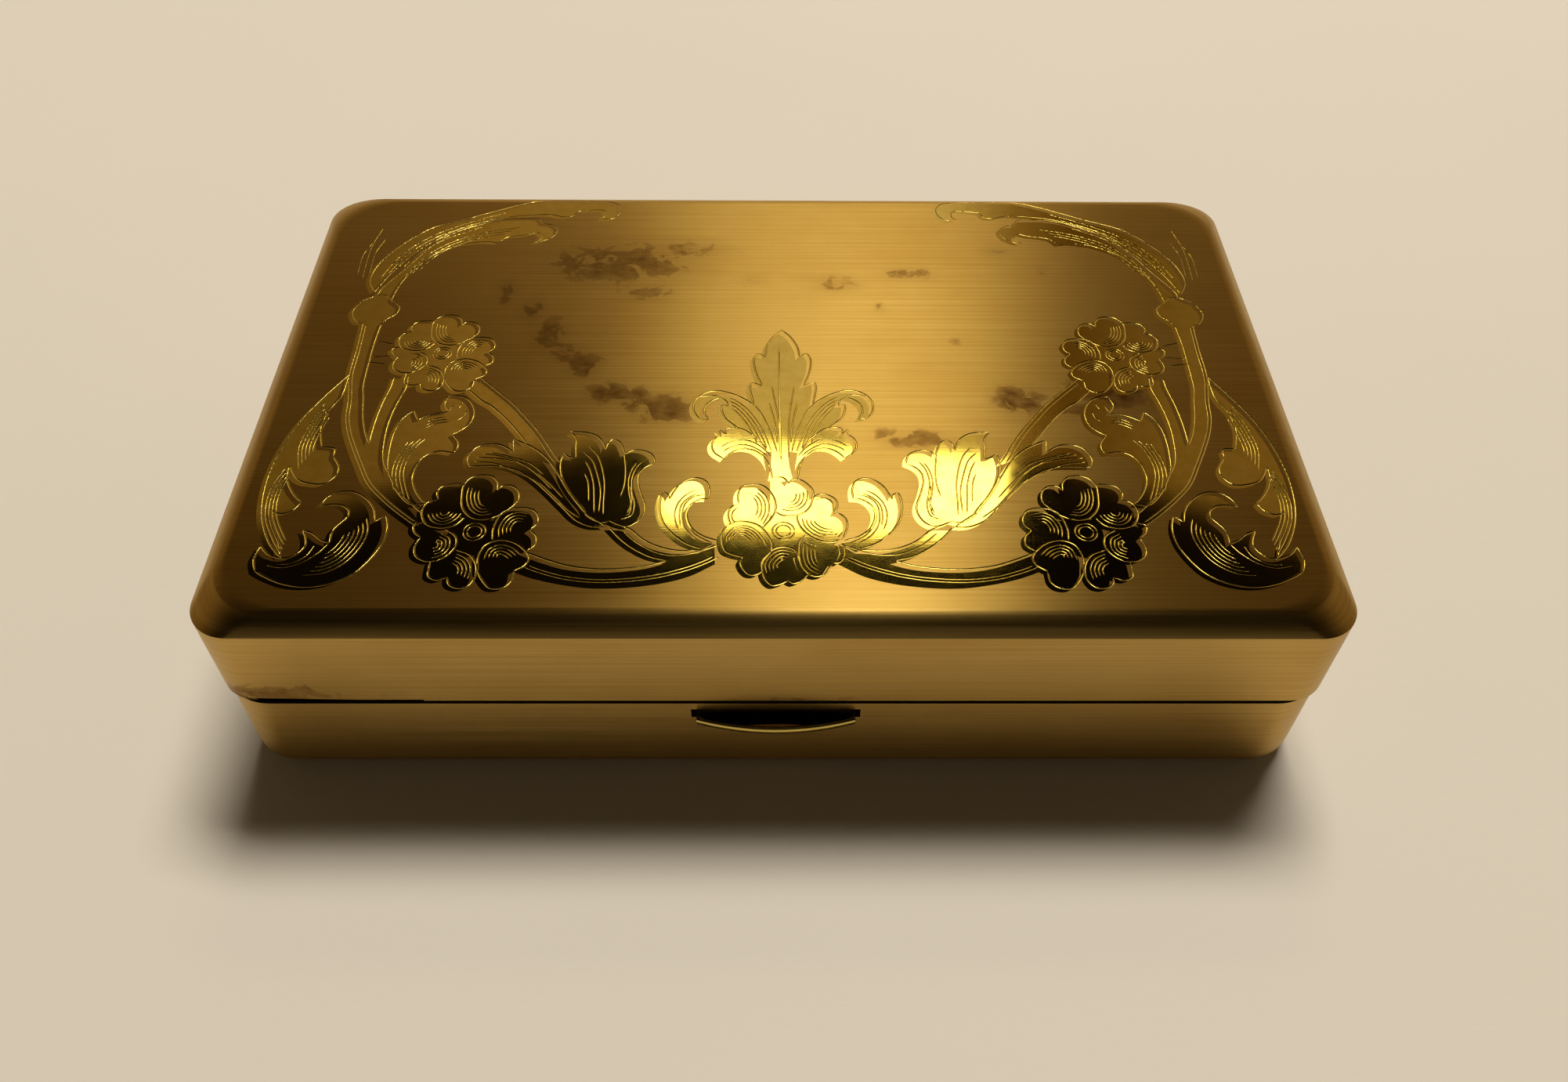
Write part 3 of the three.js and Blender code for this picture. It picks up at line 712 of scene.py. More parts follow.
PATCH_INSET = 1.5
PATCH_RINGS = (1.65, 1.8, 2.0, SHOULDER_RUN)
PATCH_GRID = 0.9
GRID_CLEARANCE = 0.35
WALL_LEVELS = (14.5, 16.5)
BASE_LEVEL = 5.0
CUT_END_LENGTH = 0.35
CUT_END_WIDTH = 0.3
SHALLOWEST_SIDE = 0.06
SHALLOWEST_CUT = 0.004
CUT_RIM = CUT_DEPTH * 0.4
SLOPE_REACH = 0.01
LID_EDGE_LIFT = 0.09
KNOCK_RISE = 0.6
KNOCK_REACH = 19
SHOULDER_RINGS = 14
ROUNDING_RINGS = 8
BRUSHED, POLISHED, CUT, INNER, EDGE = range(5)

# Each stain is its centre, its half sizes and its strength, on the lid's top and on its front wall.
STAIN_REACH = 1.6
STAINS = (
    (22.6, -3.2, 2.3, 2, 0.62), (31.5, -1.6, 3.4, 2.6, 0.72), (27.5, -4.4, 1.6, 1, 0.5),
    (12.5, -8.4, 3, 1, 0.55), (9.8, -7.8, 1, 0.5, 0.5), (-27, 12.5, 1, 2, 0.42),
    (-24.2, 9.6, 1.2, 2, 0.45), (-22, 5.9, 1.6, 2.2, 0.52), (-20.2, 3.4, 1.2, 1.4, 0.52),
    (-18.2, 1.4, 1.7, 1.5, 0.6), (-15.6, -2.4, 2.1, 1.4, 0.62), (-12.9, -3.4, 1.4, 1.8, 0.55),
    (-10.2, -4.6, 2.4, 2, 0.6), (-16, 17.2, 7.5, 3, 0.52), (-10, 19.5, 5, 1.6, 0.42),
    (-13, 12.4, 2.6, 1.2, 0.4), (13.6, 15.6, 2.6, 0.9, 0.5), (6, 13.6, 2.6, 0.8, 0.4),
    (-2.4, 14.6, 1.5, 0.6, 0.4), (23, 19.4, 1.3, 0.8, 0.42), (27.5, 16.4, 0.7, 0.5, 0.42),
    (10.4, 10.2, 0.5, 0.8, 0.4), (4.6, 15.2, 3, 0.35, 0.4), (17.4, 5.2, 0.5, 0.5, 0.45),
)
WALL_STAINS = (
    (-41.5, 11.7, 4.2, 0.75, 0.8), (-44.5, 12.3, 2.4, 0.5, 0.55), (-22.6, 18.9, 1.6, 0.28, 0.6),
    (-21.5, 18.2, 0.9, 0.16, 0.6), (25.6, 7.2, 0.6, 0.28, 0.6), (-2, 11.35, 5.5, 0.3, 0.42),
    (4, 10.3, 9, 0.35, 0.45),
)


def half_at(half, risen):
    """A cut's half width near its end, where it has risen to a part of its depth."""
    return half * (CUT_END_WIDTH + (1 - CUT_END_WIDTH) * risen)


def cut_points(ornament):
    """Outline vertices and edges for every cut: its middle line and its two edges. Also dense samples of
    each middle line with the half width and depth there, for the height of every other vertex."""
    vertices, edges, samples = [], [], []

    def chain(line):
        start = len(vertices)
        vertices.extend(line)
        edges.extend((start + k, start + k + 1) for k in range(len(line) - 1))

    for line, half, depth in ornament.cuts:
        s = lengths_along(line)
        taper = np.clip(np.minimum(s, s[-1] - s) / CUT_END_LENGTH, 0.0, 1.0)
        side = normals_2d(line) * half_at(half, taper)[:, None]
        chain(line)
        chain(line + side)
        chain(line - side)
        dense = np.arange(0, s[-1], 0.05)
        x = np.interp(dense, s, line[:, 0])
        y = np.interp(dense, s, line[:, 1])
        t = np.interp(dense, s, taper)
        samples.append(np.stack([x, y, half_at(half, t), depth * t], 1))
    return vertices, edges, np.concatenate(samples)


def patch_outline(cut_vertices, cut_edges, polished, near_cut):
    """The patch's vertices and edges, and its rim. It has the cuts, rings, polished areas and a grid."""
    vertices = [p[:2] for p in lid_ring(PATCH_INSET, 0, LID_COLUMNS)]
    rim_count = len(vertices)
    vertices += cut_vertices
    edges = [(a + rim_count, b + rim_count) for a, b in cut_edges] + closed_edges(0, rim_count)
    rings = [[p[:2] for p in lid_ring(inset, 0)] for inset in PATCH_RINGS]
    for outline in rings + polished:
        edges += closed_edges(len(vertices), len(outline))
        vertices += list(outline)
    grid_x = np.arange(-HALF_X + SHOULDER_RUN + 0.4, HALF_X - SHOULDER_RUN, PATCH_GRID)
    grid_y = np.arange(-HALF_Y + SHOULDER_RUN + 0.4, HALF_Y - SHOULDER_RUN, PATCH_GRID)
    for row, y in enumerate(grid_y):
        for x in grid_x + PATCH_GRID / 2 * (row % 2):
            if abs(x) < HALF_X - SHOULDER_RUN - 0.2 and near_cut(x, y)[2] > GRID_CLEARANCE:
                vertices.append((x, y))
    return vertices, edges, np.array(vertices[:rim_count])


def engraved_patch():
    """The top of the lid inside the wall rings: vertices, triangles and material indices."""
    ornament = whole_ornament()
    polished = [area + POLISH_SHIFT for area in ornament.polished]
    cut_vertices, cut_edges, samples = cut_points(ornament)
    tree = kdtree.KDTree(len(samples))
    for index, sample in enumerate(samples):
        tree.insert((sample[0], sample[1], 0), index)
    tree.balance()

    def near_cut(x, y):
        return tree.find((x, y, 0))

    vertices, edges, rim = patch_outline(cut_vertices, cut_edges, polished, near_cut)
    points, triangles = triangulated(vertices, edges)
    points = np.array([tuple(p) for p in points])
    centres = points[np.array(triangles)].mean(1)
    triangles = [t for t, keep in zip(triangles, inside(centres, rim)) if keep]
    depth = np.zeros(len(points))
    for index, (x, y) in enumerate(points):
        _, nearest, distance = near_cut(x, y)
        _, _, half, deep = samples[nearest]
        part = 1 - distance / half
        if part > SHALLOWEST_SIDE:
            depth[index] = deep * part
    solid = [(x, y, lid_height(x, y) - d) for (x, y), d in zip(points, depth)]
    corners = np.array(triangles)
    centres = points[corners].mean(1)
    shiny = np.zeros(len(triangles), bool)
    for area in polished:
        shiny |= inside(centres, area)
    material = np.where(depth[corners].max(1) > SHALLOWEST_CUT, CUT, np.where(shiny, POLISHED, BRUSHED))
    return solid, triangles, material


def stain_amount(points):
    """How tarnished each point of the lid is, from 0 to 1."""
    amount = np.zeros(len(points))
    xy = np.array([p[:2] for p in points])
    z = np.array([p[2] for p in points])
    on_top = z > TOP_Z - 0.2
    on_front = (z < TOP_Z - 0.8) & (xy[:, 1] < 1 - HALF_Y)
    for where, spots, across in ((on_top, STAINS, xy[:, 1]), (on_front, WALL_STAINS, z)):
        for u, v, half_u, half_v, strength in spots:
            away = np.hypot((xy[:, 0] - u) / half_u, (across - v) / half_v)
            amount = np.maximum(amount, np.where(where, strength * np.clip(STAIN_REACH - away, 0, 1), 0))
    return amount


def band(lower, upper):
    """The quads between two closed rings of vertices."""
    return [(lower[k], lower[n], upper[n], upper[k]) for k, n in closed_edges(0, len(lower))]


class Shell:
    """Collects vertices, faces, material indices and UVs of a shell built from rings."""

    def __init__(self):
        self.vertices, self.faces, self.indices, self.uvs = [], [], [], []

    def ring(self, points):
        """Adds a ring. Its UV runs round the case and up it."""
        start = len(self.vertices)
        around = lengths_along(np.array([p[:2] for p in points]))
        self.vertices.extend(points)
        self.uvs.extend((s + 0.5, p[2]) for s, p in zip(around, points))
        return list(range(start, start + len(points)))

    def face(self, corners, index):
        self.faces.append(tuple(corners))
        self.indices.append(index)

    def skirt(self, lower, upper, index):
        for corners in band(lower, upper):
            self.face(corners, index)


def wall_cells(shell, levels, ring_at, skip, outer_flip):
    """A wall one sheet thick through the levels, with holes where skip says, closed round every free edge.
    Gives the outer and inner rings. outer_flip is True where the levels go down instead of up."""
    outer = [shell.ring(ring_at(0, z)) for z in levels]
    inner = [shell.ring(ring_at(SHEET, z)) for z in levels]
    count = len(outer[0])
    rows = len(levels) - 1

    def present(row, column):
        if row < 0 or row >= rows:
            return row >= rows
        a = shell.vertices[outer[row][column]]
        b = shell.vertices[outer[row + 1][(column + 1) % count]]
        return not skip((a[0] + b[0]) / 2, (a[1] + b[1]) / 2, (a[2] + b[2]) / 2)

    for row in range(rows):
        for k in range(count):
            if not present(row, k):
                continue
            n = (k + 1) % count
            a, b, c, d = outer[row][k], outer[row][n], outer[row + 1][n], outer[row + 1][k]
            e, f, g, h = inner[row][k], inner[row][n], inner[row + 1][n], inner[row + 1][k]
            quads = [((a, b, c, d), BRUSHED), ((f, e, h, g), INNER)]
            sides = (
                (row - 1, k, (b, a, e, f)), (row + 1, k, (d, c, g, h)),
                (row, k - 1, (a, d, h, e)), (row, n, (c, b, f, g)),
            )
            quads += [(quad, EDGE) for beside, column, quad in sides if not present(beside, column)]
            for corners, index in quads:
                shell.face(corners[::-1] if outer_flip else corners, index)
    return outer, inner


def lid_edge(x, y):
    """The height of the lid's lower edge, which a knock has bent up at the front left corner."""
    bend = max(0.0, 1 - math.hypot(x + HALF_X, y + HALF_Y) / KNOCK_REACH) ** 2
    return LID_EDGE + LID_EDGE_LIFT + KNOCK_RISE * bend


def lid_skip(x, y, z):
    """The hinge notch and the low rear edge of the lid's wall."""
    in_notch = abs(x) < NOTCH_HALF and y > NOTCH_START and z < HINGE_Z + NOTCH_REACH
    return in_notch or (y > REAR_EDGE_START and z < HINGE_Z + REAR_EDGE_HALF_GAP)


def base_skip(x, y, z):
    """The hinge notch, the low rear edge and the catch slot of the base's wall."""
    in_notch = abs(x) < NOTCH_HALF and y > NOTCH_START and z > HINGE_Z - NOTCH_REACH
    in_slot = abs(x) < SLOT_HALF and y < 0 and SLOT_LOW < z < SLOT_HIGH
    return in_notch or in_slot or (y > REAR_EDGE_START and z > HINGE_Z - REAR_EDGE_HALF_GAP)


def lid_shell():
    shell = Shell()
    extra = LID_COLUMNS
    top_of_wall = TOP_Z - SHOULDER_DROP
    rear_edge = HINGE_Z + REAR_EDGE_HALF_GAP + 0.02
    levels = [lid_edge, rear_edge, HINGE_Z + NOTCH_REACH, *WALL_LEVELS, top_of_wall]
    outer, inner = wall_cells(shell, levels, lambda depth, z: lid_ring(0, z, extra, depth), lid_skip, False)
    last = outer[-1]
    for step in range(1, SHOULDER_RINGS + 1):
        inset = step / SHOULDER_RINGS * PATCH_INSET
        ring = shell.ring(lid_ring(inset, lid_height, extra))
        shell.skirt(last, ring, BRUSHED)
        last = ring
    solid, triangles, material = engraved_patch()
    start = len(shell.vertices)
    shell.vertices.extend(solid)
    shell.uvs.extend((x, y) for x, y, _ in solid)
    for corners, index in zip(triangles, material):
        shell.face([start + c for c in corners], int(index))
    low = inner[-1]
    run, drop = SHOULDER_RUN - SHEET / 2, SHOULDER_DROP - SHEET
    for step in range(1, ROUNDING_RINGS + 1):
        part = step / ROUNDING_RINGS
        z = TOP_Z - SHEET - drop * (1 - part) ** 2
        ring = shell.ring(lid_ring(run * part, z, extra, SHEET))
        shell.skirt(ring, low, INNER)
        low = ring
    shell.face(low[::-1], INNER)
    return shell


def base_shell():
    shell = Shell()
    extra = (-NOTCH_HALF, -SLOT_HALF, SLOT_HALF, NOTCH_HALF)
    rear_edge, notch_edge = HINGE_Z - REAR_EDGE_HALF_GAP, HINGE_Z - NOTCH_REACH
    levels = [BASE_EDGE, rear_edge, SLOT_HIGH, notch_edge, SLOT_LOW, BASE_LEVEL, BOTTOM_RADIUS]
    outer, inner = wall_cells(shell, levels, lambda depth, z: base_ring(depth, z, extra), base_skip, True)
    last, low = outer[-1], inner[-1]
    radius = BOTTOM_RADIUS - SHEET
    for step in range(1, ROUNDING_RINGS + 1):
        turn = step / ROUNDING_RINGS * math.pi / 2
        inset = BOTTOM_RADIUS * (1 - math.cos(turn))
        ring = shell.ring(base_ring(inset, BOTTOM_RADIUS * (1 - math.sin(turn)), extra))
        shell.skirt(ring, last, BRUSHED)
        last = ring
        inset = SHEET + radius * (1 - math.cos(turn))
        ring = shell.ring(base_ring(inset, BOTTOM_RADIUS - radius * math.sin(turn), extra))
        shell.skirt(low, ring, INNER)
        low = ring
    shell.face(last[::-1], BRUSHED)
    shell.face(low, INNER)
    return shell


def top_normal(x, y):
    """The normal of the lid's outer surface over a point of the plan, from its parabola."""
    part = (SHOULDER_RUN - min(max(inset_of(x, y), 0), SHOULDER_RUN)) / SHOULDER_RUN
    near = SLOPE_REACH
    slope_x = (inset_of(x + near, y) - inset_of(x - near, y)) / (2 * near)
    slope_y = (inset_of(x, y + near) - inset_of(x, y - near)) / (2 * near)
    steep = 2 * SHOULDER_DROP * part / SHOULDER_RUN
    return Vector((-slope_x * steep, -slope_y * steep, 1)).normalized()


def set_top_normals(mesh):
    """Gives the lid's outer top its true normals, so that the cuts don't disturb the flats between them."""
    normals = [Vector(c.vector) for c in mesh.corner_normals]
    for polygon in mesh.polygons:
        if polygon.material_index == INNER or polygon.center.z / MM < TOP_Z - SHOULDER_DROP:
            continue
        for loop in polygon.loop_indices:
            place = mesh.vertices[mesh.loops[loop].vertex_index].co / MM
            at_edge = lid_height(place.x, place.y) - place.z < CUT_RIM
            if polygon.material_index == CUT and at_edge:
                normals[loop] = polygon.normal.copy()
            else:
                normals[loop] = top_normal(place.x, place.y)
    mesh.normals_split_custom_set(normals)


def finish_shell(shell, name, body, node, materials):
    piece = build_mesh(name, shell.vertices, shell.faces, materials, shell.indices, shell.uvs, sharp=24)
    mesh = piece.data
    if node == "lid_shell":
        stain = mesh.attributes.new("stain", "FLOAT", "POINT")
        stain.data.foreach_set("value", stain_amount(shell.vertices))
    with edited(mesh) as work:
        bmesh.ops.remove_doubles(work, verts=work.verts, dist=1e-7)
        loose = [v for v in work.verts if not v.link_faces]
        bmesh.ops.delete(work, geom=loose, context="VERTS")
    if node == "lid_shell":
        set_top_normals(mesh)
    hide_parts(node)
    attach(piece, body)

# ---------- materials ----------


class Nodes:
    """A node tree with short calls for the nodes the materials use."""

    def __init__(self, tree):
        self.tree = tree

    def new(self, kind, **settings):
        node = self.tree.nodes.new(kind)
        for key, value in settings.items():
            setattr(node, key, value)
        return node

    def link(self, source, target):
        self.tree.links.new(source, target)

    def set(self, socket, value):
        if isinstance(value, bpy.types.NodeSocket):
            self.link(value, socket)
        else:
            socket.default_value = value

    def math(self, operation, a, b=0.0, clamp=False):
        node = self.new("ShaderNodeMath", operation=operation, use_clamp=clamp)
        self.set(node.inputs[0], a)
        self.set(node.inputs[1], b)
        return node.outputs[0]

    def scaled(self, value, factor, plus):
        return self.math("ADD", self.math("MULTIPLY", value, factor), plus)

    def place(self):
        return self.new("ShaderNodeTexCoord").outputs["Object"]

    def mapped(self, vector, scale, offset=(0, 0, 0)):
        node = self.new("ShaderNodeMapping")
        self.link(vector, node.inputs["Vector"])
        node.inputs["Scale"].default_value = scale
        node.inputs["Location"].default_value = offset
        return node.outputs[0]

    def noise(self, vector, scale=1.0, detail=3.0, roughness=0.5, distortion=0.0):
        node = self.new("ShaderNodeTexNoise")
        self.link(vector, node.inputs["Vector"])
        node.inputs["Scale"].default_value = scale
        node.inputs["Detail"].default_value = detail
        node.inputs["Roughness"].default_value = roughness
        node.inputs["Distortion"].default_value = distortion
        return node.outputs["Fac"]

    def ramp(self, value, *stops):
        """A value or colour from another value through (position, colour or number) stops."""
        node = self.new("ShaderNodeValToRGB")
        self.link(value, node.inputs[0])
        elements = node.color_ramp.elements
        while len(elements) < len(stops):
            elements.new(0.5)
        for element, (position, colour) in zip(elements, stops):
            element.position = position
            element.color = (*colour, 1) if isinstance(colour, tuple) else (colour, colour, colour, 1)
        return node.outputs[0]

    def mix(self, factor, a, b, mode="MIX"):
        node = self.new("ShaderNodeMix", data_type="RGBA", blend_type=mode)
        self.set(node.inputs[0], factor)
        for socket, value in ((node.inputs[6], a), (node.inputs[7], b)):
            self.set(socket, value if isinstance(value, bpy.types.NodeSocket) else (*value, 1))
        return node.outputs[2]

    def bump(self, height, distance, strength=1.0):
        node = self.new("ShaderNodeBump")
        self.link(height, node.inputs["Height"])
        node.inputs["Distance"].default_value = distance
        node.inputs["Strength"].default_value = strength
        return node.outputs["Normal"]


class Surface(Nodes):
    """The nodes of a new material. Settings are constants of its Principled shader."""

    def __init__(self, name, **settings):
        self.material = bpy.data.materials.new(name)
        self.material.use_nodes = True
        super().__init__(self.material.node_tree)
        self.inputs = self.tree.nodes["Principled BSDF"].inputs
        for key, value in settings.items():
            self.inputs[key.replace("_", " ")].default_value = value

    def finish(self, **values):
        """Links values into the shader's inputs, and gives the material."""
        for key, value in values.items():
            self.link(value, self.inputs[key.replace("_", " ")])
        return self.material


BRASS = (0.66, 0.465, 0.165)
BRASS_DARK = (0.42, 0.235, 0.045)
TARNISH = (0.20, 0.095, 0.025)
STAIN_THRESHOLD = 1.16
STAIN_SLOPE = 8.0
STAIN_HALO = 0.32


def stain_factor(n, uv):
    """The stains painted on the lid's vertices, broken up into blots with a faint halo."""
    amount = n.new("ShaderNodeAttribute", attribute_name="stain").outputs["Fac"]
    blots = n.noise(n.mapped(uv, (0.4, 0.52, 1)), detail=4, roughness=0.55, distortion=0.8)
    inside_blot = n.math("ADD", amount, n.math("MULTIPLY", blots, 1.7))
    edge = n.math("MULTIPLY", n.math("SUBTRACT", inside_blot, STAIN_THRESHOLD), STAIN_SLOPE, clamp=True)
    depth = n.scaled(n.noise(n.mapped(uv, (0.9, 1.1, 1))), 1.3, 0.2)
    strength = n.math("MULTIPLY", amount, 1.4)
    edge = n.math("MULTIPLY", n.math("MULTIPLY", edge, depth), strength, clamp=True)
    return n.math("MAXIMUM", edge, n.math("MULTIPLY", amount, STAIN_HALO))


def brushed_brass(name, stained):
    """Brass with fine brushing along U, a little uneven colour, and brown stains where told."""
    n = Surface(name, Metallic=1.0, Anisotropic=0.8, Anisotropic_Rotation=0.25)
    uv = n.new("ShaderNodeUVMap", uv_map="UVMap").outputs[0]
    fine = n.noise(n.mapped(uv, (0.03, 6.0, 1)), detail=4)
    coarse = n.noise(n.mapped(uv, (0.012, 1.1, 1), (3, 7, 0)), detail=3)
    patches = n.noise(n.mapped(uv, (0.05, 0.07, 1), (11, 5, 0)), detail=4, roughness=0.6)
    colour = n.mix(n.ramp(fine, (0.35, 0.0), (0.7, 1.0)), BRASS_DARK, BRASS)
    colour = n.mix(0.55, colour, BRASS)
    colour = n.mix(n.ramp(patches, (0.4, 0.0), (0.75, 0.35)), colour, BRASS_DARK)
    rough = n.math("ADD", n.scaled(fine, 0.14, 0.23), n.math("MULTIPLY", coarse, 0.03))
    if stained:
        stain = stain_factor(n, uv)
        colour = n.mix(stain, colour, TARNISH)
        rough = n.math("ADD", rough, n.math("MULTIPLY", stain, 0.12))
    tangent = n.new("ShaderNodeTangent", direction_type="UV_MAP", uv_map="UVMap").outputs[0]
    return n.finish(Base_Color=colour, Roughness=rough, Tangent=tangent, Normal=n.bump(fine, 0.000004))


def polished_brass(name, roughness):
    """Polished brass with faint scratches."""
    n = Surface(name, Metallic=1.0)
    haze = n.noise(n.place(), scale=900, detail=4)
    scratch = n.noise(n.mapped(n.place(), (300, 9000, 300)), detail=3)
    return n.finish(
        Base_Color=n.ramp(haze, (0.3, (0.68, 0.53, 0.17)), (0.75, (0.61, 0.46, 0.12))),
        Roughness=n.scaled(haze, 0.05, roughness),
        Normal=n.bump(scratch, 0.0000004),
    )


def plain_metal(name, colour, roughness):
    n = Surface(name, Metallic=1.0)
    fine = n.noise(n.mapped(n.place(), (400, 1600, 1600)), detail=4)
    return n.finish(
        Base_Color=n.mix(fine, tuple(c * 0.7 for c in colour), colour),
        Roughness=n.scaled(fine, 0.15, roughness),
        Normal=n.bump(fine, 0.000006),
    )


def dark_shade_brass(name):
    """Dull, very dark brass: painted shade for the thin edges of the sheet, which face into the seam, the
    slot and the hinge notch.
    """
    n = Surface(name, Metallic=0.6, Roughness=0.6)
    blotch = n.noise(n.place(), scale=700, detail=4)
    return n.finish(Base_Color=n.mix(blotch, (0.035, 0.016, 0.005), (0.11, 0.06, 0.02)))


def felt_cloth(name, dark, light):
    """Dense wool felt: matted fibres and a soft sheen."""
    n = Surface(name, Roughness=0.95, Sheen_Weight=0.22, Sheen_Roughness=0.5)
    fibres = n.noise(n.place(), scale=4200, detail=6, roughness=0.75, distortion=2.5)
    clumps = n.noise(n.place(), scale=260, detail=4)
    pile = n.scaled(fibres, 0.84, n.math("MULTIPLY", clumps, 0.16))
    return n.finish(Base_Color=n.ramp(pile, (0.36, dark), (0.64, light)), Normal=n.bump(pile, 0.00025))


def woven_cloth(name, dark, light, warp, weft, roughness, sheen, depth):
    """A weave of threads at the given spacings in millimetres, along X and along Y."""
    n = Surface(name, Sheen_Weight=sheen, Sheen_Roughness=0.35)
    where = n.place()
    axes = n.new("ShaderNodeSeparateXYZ")
    n.link(where, axes.inputs[0])
    along = n.math("SINE", n.math("MULTIPLY", axes.outputs["X"], 2 * math.pi / (warp * MM)))
    across = n.math("SINE", n.math("MULTIPLY", axes.outputs["Y"], 2 * math.pi / (weft * MM)))
    weave = n.scaled(n.math("MULTIPLY", along, across), 0.25, 0.5)
    slub = n.noise(n.mapped(where, (250, 2600, 900)), detail=3)
    worn = n.noise(where, scale=90, detail=4)
    threads = n.scaled(weave, 0.5, n.math("MULTIPLY", slub, 0.3))
    threads = n.math("ADD", threads, n.math("MULTIPLY", worn, 0.2))
    return n.finish(
        Base_Color=n.ramp(threads, (0.3, dark), (0.7, light)),
        Roughness=n.scaled(slub, 0.2, roughness),
        Normal=n.bump(weave, depth),
    )


def pressed_card(name):
    n = Surface(name, Roughness=0.85)
    pulp = n.noise(n.place(), scale=1300, detail=6, roughness=0.7)
    flecks = n.noise(n.mapped(n.place(), (900, 300, 900)), scale=2.0, detail=2, distortion=1.0)
    colour = n.mix(pulp, (0.42, 0.31, 0.19), (0.60, 0.47, 0.31))
    colour = n.mix(n.ramp(flecks, (0.68, 0.0), (0.75, 0.5)), colour, (0.2, 0.13, 0.07))
    return n.finish(Base_Color=colour, Normal=n.bump(pulp, 0.00008))


LID_BRUSHED = brushed_brass("brass_brushed_lid", True)
BASE_BRUSHED = brushed_brass("brass_brushed_base", False)
POLISHED_BRASS = polished_brass("brass_polished", 0.032)
CUT_BRASS = polished_brass("brass_cut", 0.14)
INNER_BRASS = plain_metal("brass_inside", (0.55, 0.37, 0.13), 0.3)
HINGE_BRASS = plain_metal("brass_hinge", (0.62, 0.43, 0.15), 0.22)
# Painted shade: the sheet's edges get very dark brass for the shade in the seam and the slot.
EDGE_SHADE_BRASS = dark_shade_brass("brass_edge_shade")
STEEL = plain_metal("spring_steel", (0.42, 0.43, 0.45), 0.28)
FELT = felt_cloth("wool_felt", (0.075, 0.006, 0.011), (0.21, 0.022, 0.032))
RIBBON = woven_cloth("ribbon_weave", (0.22, 0.03, 0.04), (0.50, 0.10, 0.12), 0.34, 0.5, 0.45, 0.2, 0.00006)
ELASTIC = woven_cloth("elastic_weave", (0.48, 0.40, 0.27), (0.80, 0.72, 0.55), 0.36, 0.4, 0.7, 0.3, 0.00008)
SATIN = woven_cloth("satin_weave", (0.50, 0.38, 0.20), (0.78, 0.64, 0.40), 0.9, 0.16, 0.28, 0.4, 0.00001)
CARD = pressed_card("lining_card")

# ---------- pieces ----------

SLAB_STEPS = 8
SLAB_EDGE_RINGS = 5
SMALLEST_CORNER = 0.3
QUILT_PITCH = 12.0
TAB_HALF = 6.85
TAB_REACH = 1.0
TAB_RIM = 0.34
TAB_SECTIONS = 24
SPRING_HALF = 0.12
SPRING_COURSE = [(14, -28.97), (10.8, -28.97), (8.8, -28.38), (4.5, -28.42), (0, -28.53)]


def rounded_plan(low, high, inset, radius):
    """A ring with rounded corners inside a box's plan, anticlockwise."""
    centre = [(a + b) / 2 for a, b in zip(low[:2], high)]
    half = [(b - a) / 2 - inset for a, b in zip(low[:2], high)]
    arcs = corner_arcs(centre, half, max(radius - inset, SMALLEST_CORNER), SLAB_STEPS)
    return [point for arc in arcs for point in arc]


def soft_slab(name, node, material, radius, edge, spacing, height, up=True):
    """A slab that fills a node's box, with a rounded edge. Its face, up or down, sinks by height(x, y)."""
    low, high = node_box(node)
    face_z, back_z = (high[2], low[2]) if up else (low[2], high[2])
    inward = -1 if up else 1
    rim = rounded_plan(low, high, edge, radius)
    spread = [
        np.arange(low[axis] + edge + spacing * 0.7, high[axis] - edge - spacing * 0.4, spacing)
        for axis in (0, 1)
    ]
    count = len(rim)
    grid = [(x, y) for x in spread[0] for y in spread[1]]
    points, triangles = triangulated(rim + grid, closed_edges(0, count))
    vertices = [(p.x, p.y, face_z + inward * height(p.x, p.y)) for p in points]
    faces = [tuple(t) for t in triangles]
    last = list(range(count))

    def next_ring(ring):
        vertices.extend(ring)
        new = list(range(len(vertices) - count, len(vertices)))
        faces.extend(band(new, last))
        return new

    for step in range(1, SLAB_EDGE_RINGS + 1):
        turn = step / SLAB_EDGE_RINGS * math.pi / 2
        ring = rounded_plan(low, high, edge * (1 - math.sin(turn)), radius)
        drops = [edge * (1 - math.cos(turn)) + height(*p) * math.cos(turn) for p in rim]
        last = next_ring([(x, y, face_z + inward * drop) for (x, y), drop in zip(ring, drops)])
    last = next_ring([(x, y, back_z) for x, y in rounded_plan(low, high, 0, radius)])
    faces.append(tuple(last[::-1]))
    if not up:
        faces = [face[::-1] for face in faces]
    piece = build_mesh(name, vertices, faces, [material], sharp=50)
    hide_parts(node)
    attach(piece, "case" if up else "lid")
    return piece


def felt_height(x, y):
    """Small hollows where the felt has been pressed and pricked."""
    waves = math.sin(x * 0.31 + 1.3 * math.sin(y * 0.23)) * math.sin(y * 0.37 + math.sin(x * 0.19))
    fine = math.sin(x * 1.7 + y * 0.6) * math.sin(y * 1.9 - x * 0.4)
    return 0.16 + 0.10 * waves + 0.035 * fine


def quilt_height(x, y):
    """Diamond quilting: stitched valleys with soft crowns between them."""
    a, b = (x + y) / QUILT_PITCH, (x - y) / QUILT_PITCH
    valley = min(abs(a - round(a)), abs(b - round(b))) * QUILT_PITCH / math.sqrt(2)
    pucker = 0.03 * math.sin(9 * (a + b)) * math.exp(-valley)
    return 0.08 + 0.62 * math.exp(-((valley / 1.15) ** 2)) + pucker


def ribbon_height(x, y):
    """The ribbon lies slightly uneven between its raised selvedges."""
    low, high = node_box("needle_ribbon_rear")
    beside = abs(abs(y) - (low[1] + high[1]) / 2)
    selvedge = 0.0 if beside > (high[1] - low[1]) / 2 - 0.5 else 0.05
    return selvedge + 0.03 * (1 + math.sin(x * 0.5 + y))


def elastic_height(_, y):
    """Rubber cords run along the elastic under its weave."""
    return 0.05 * (1 + math.cos(y * 2 * math.pi))


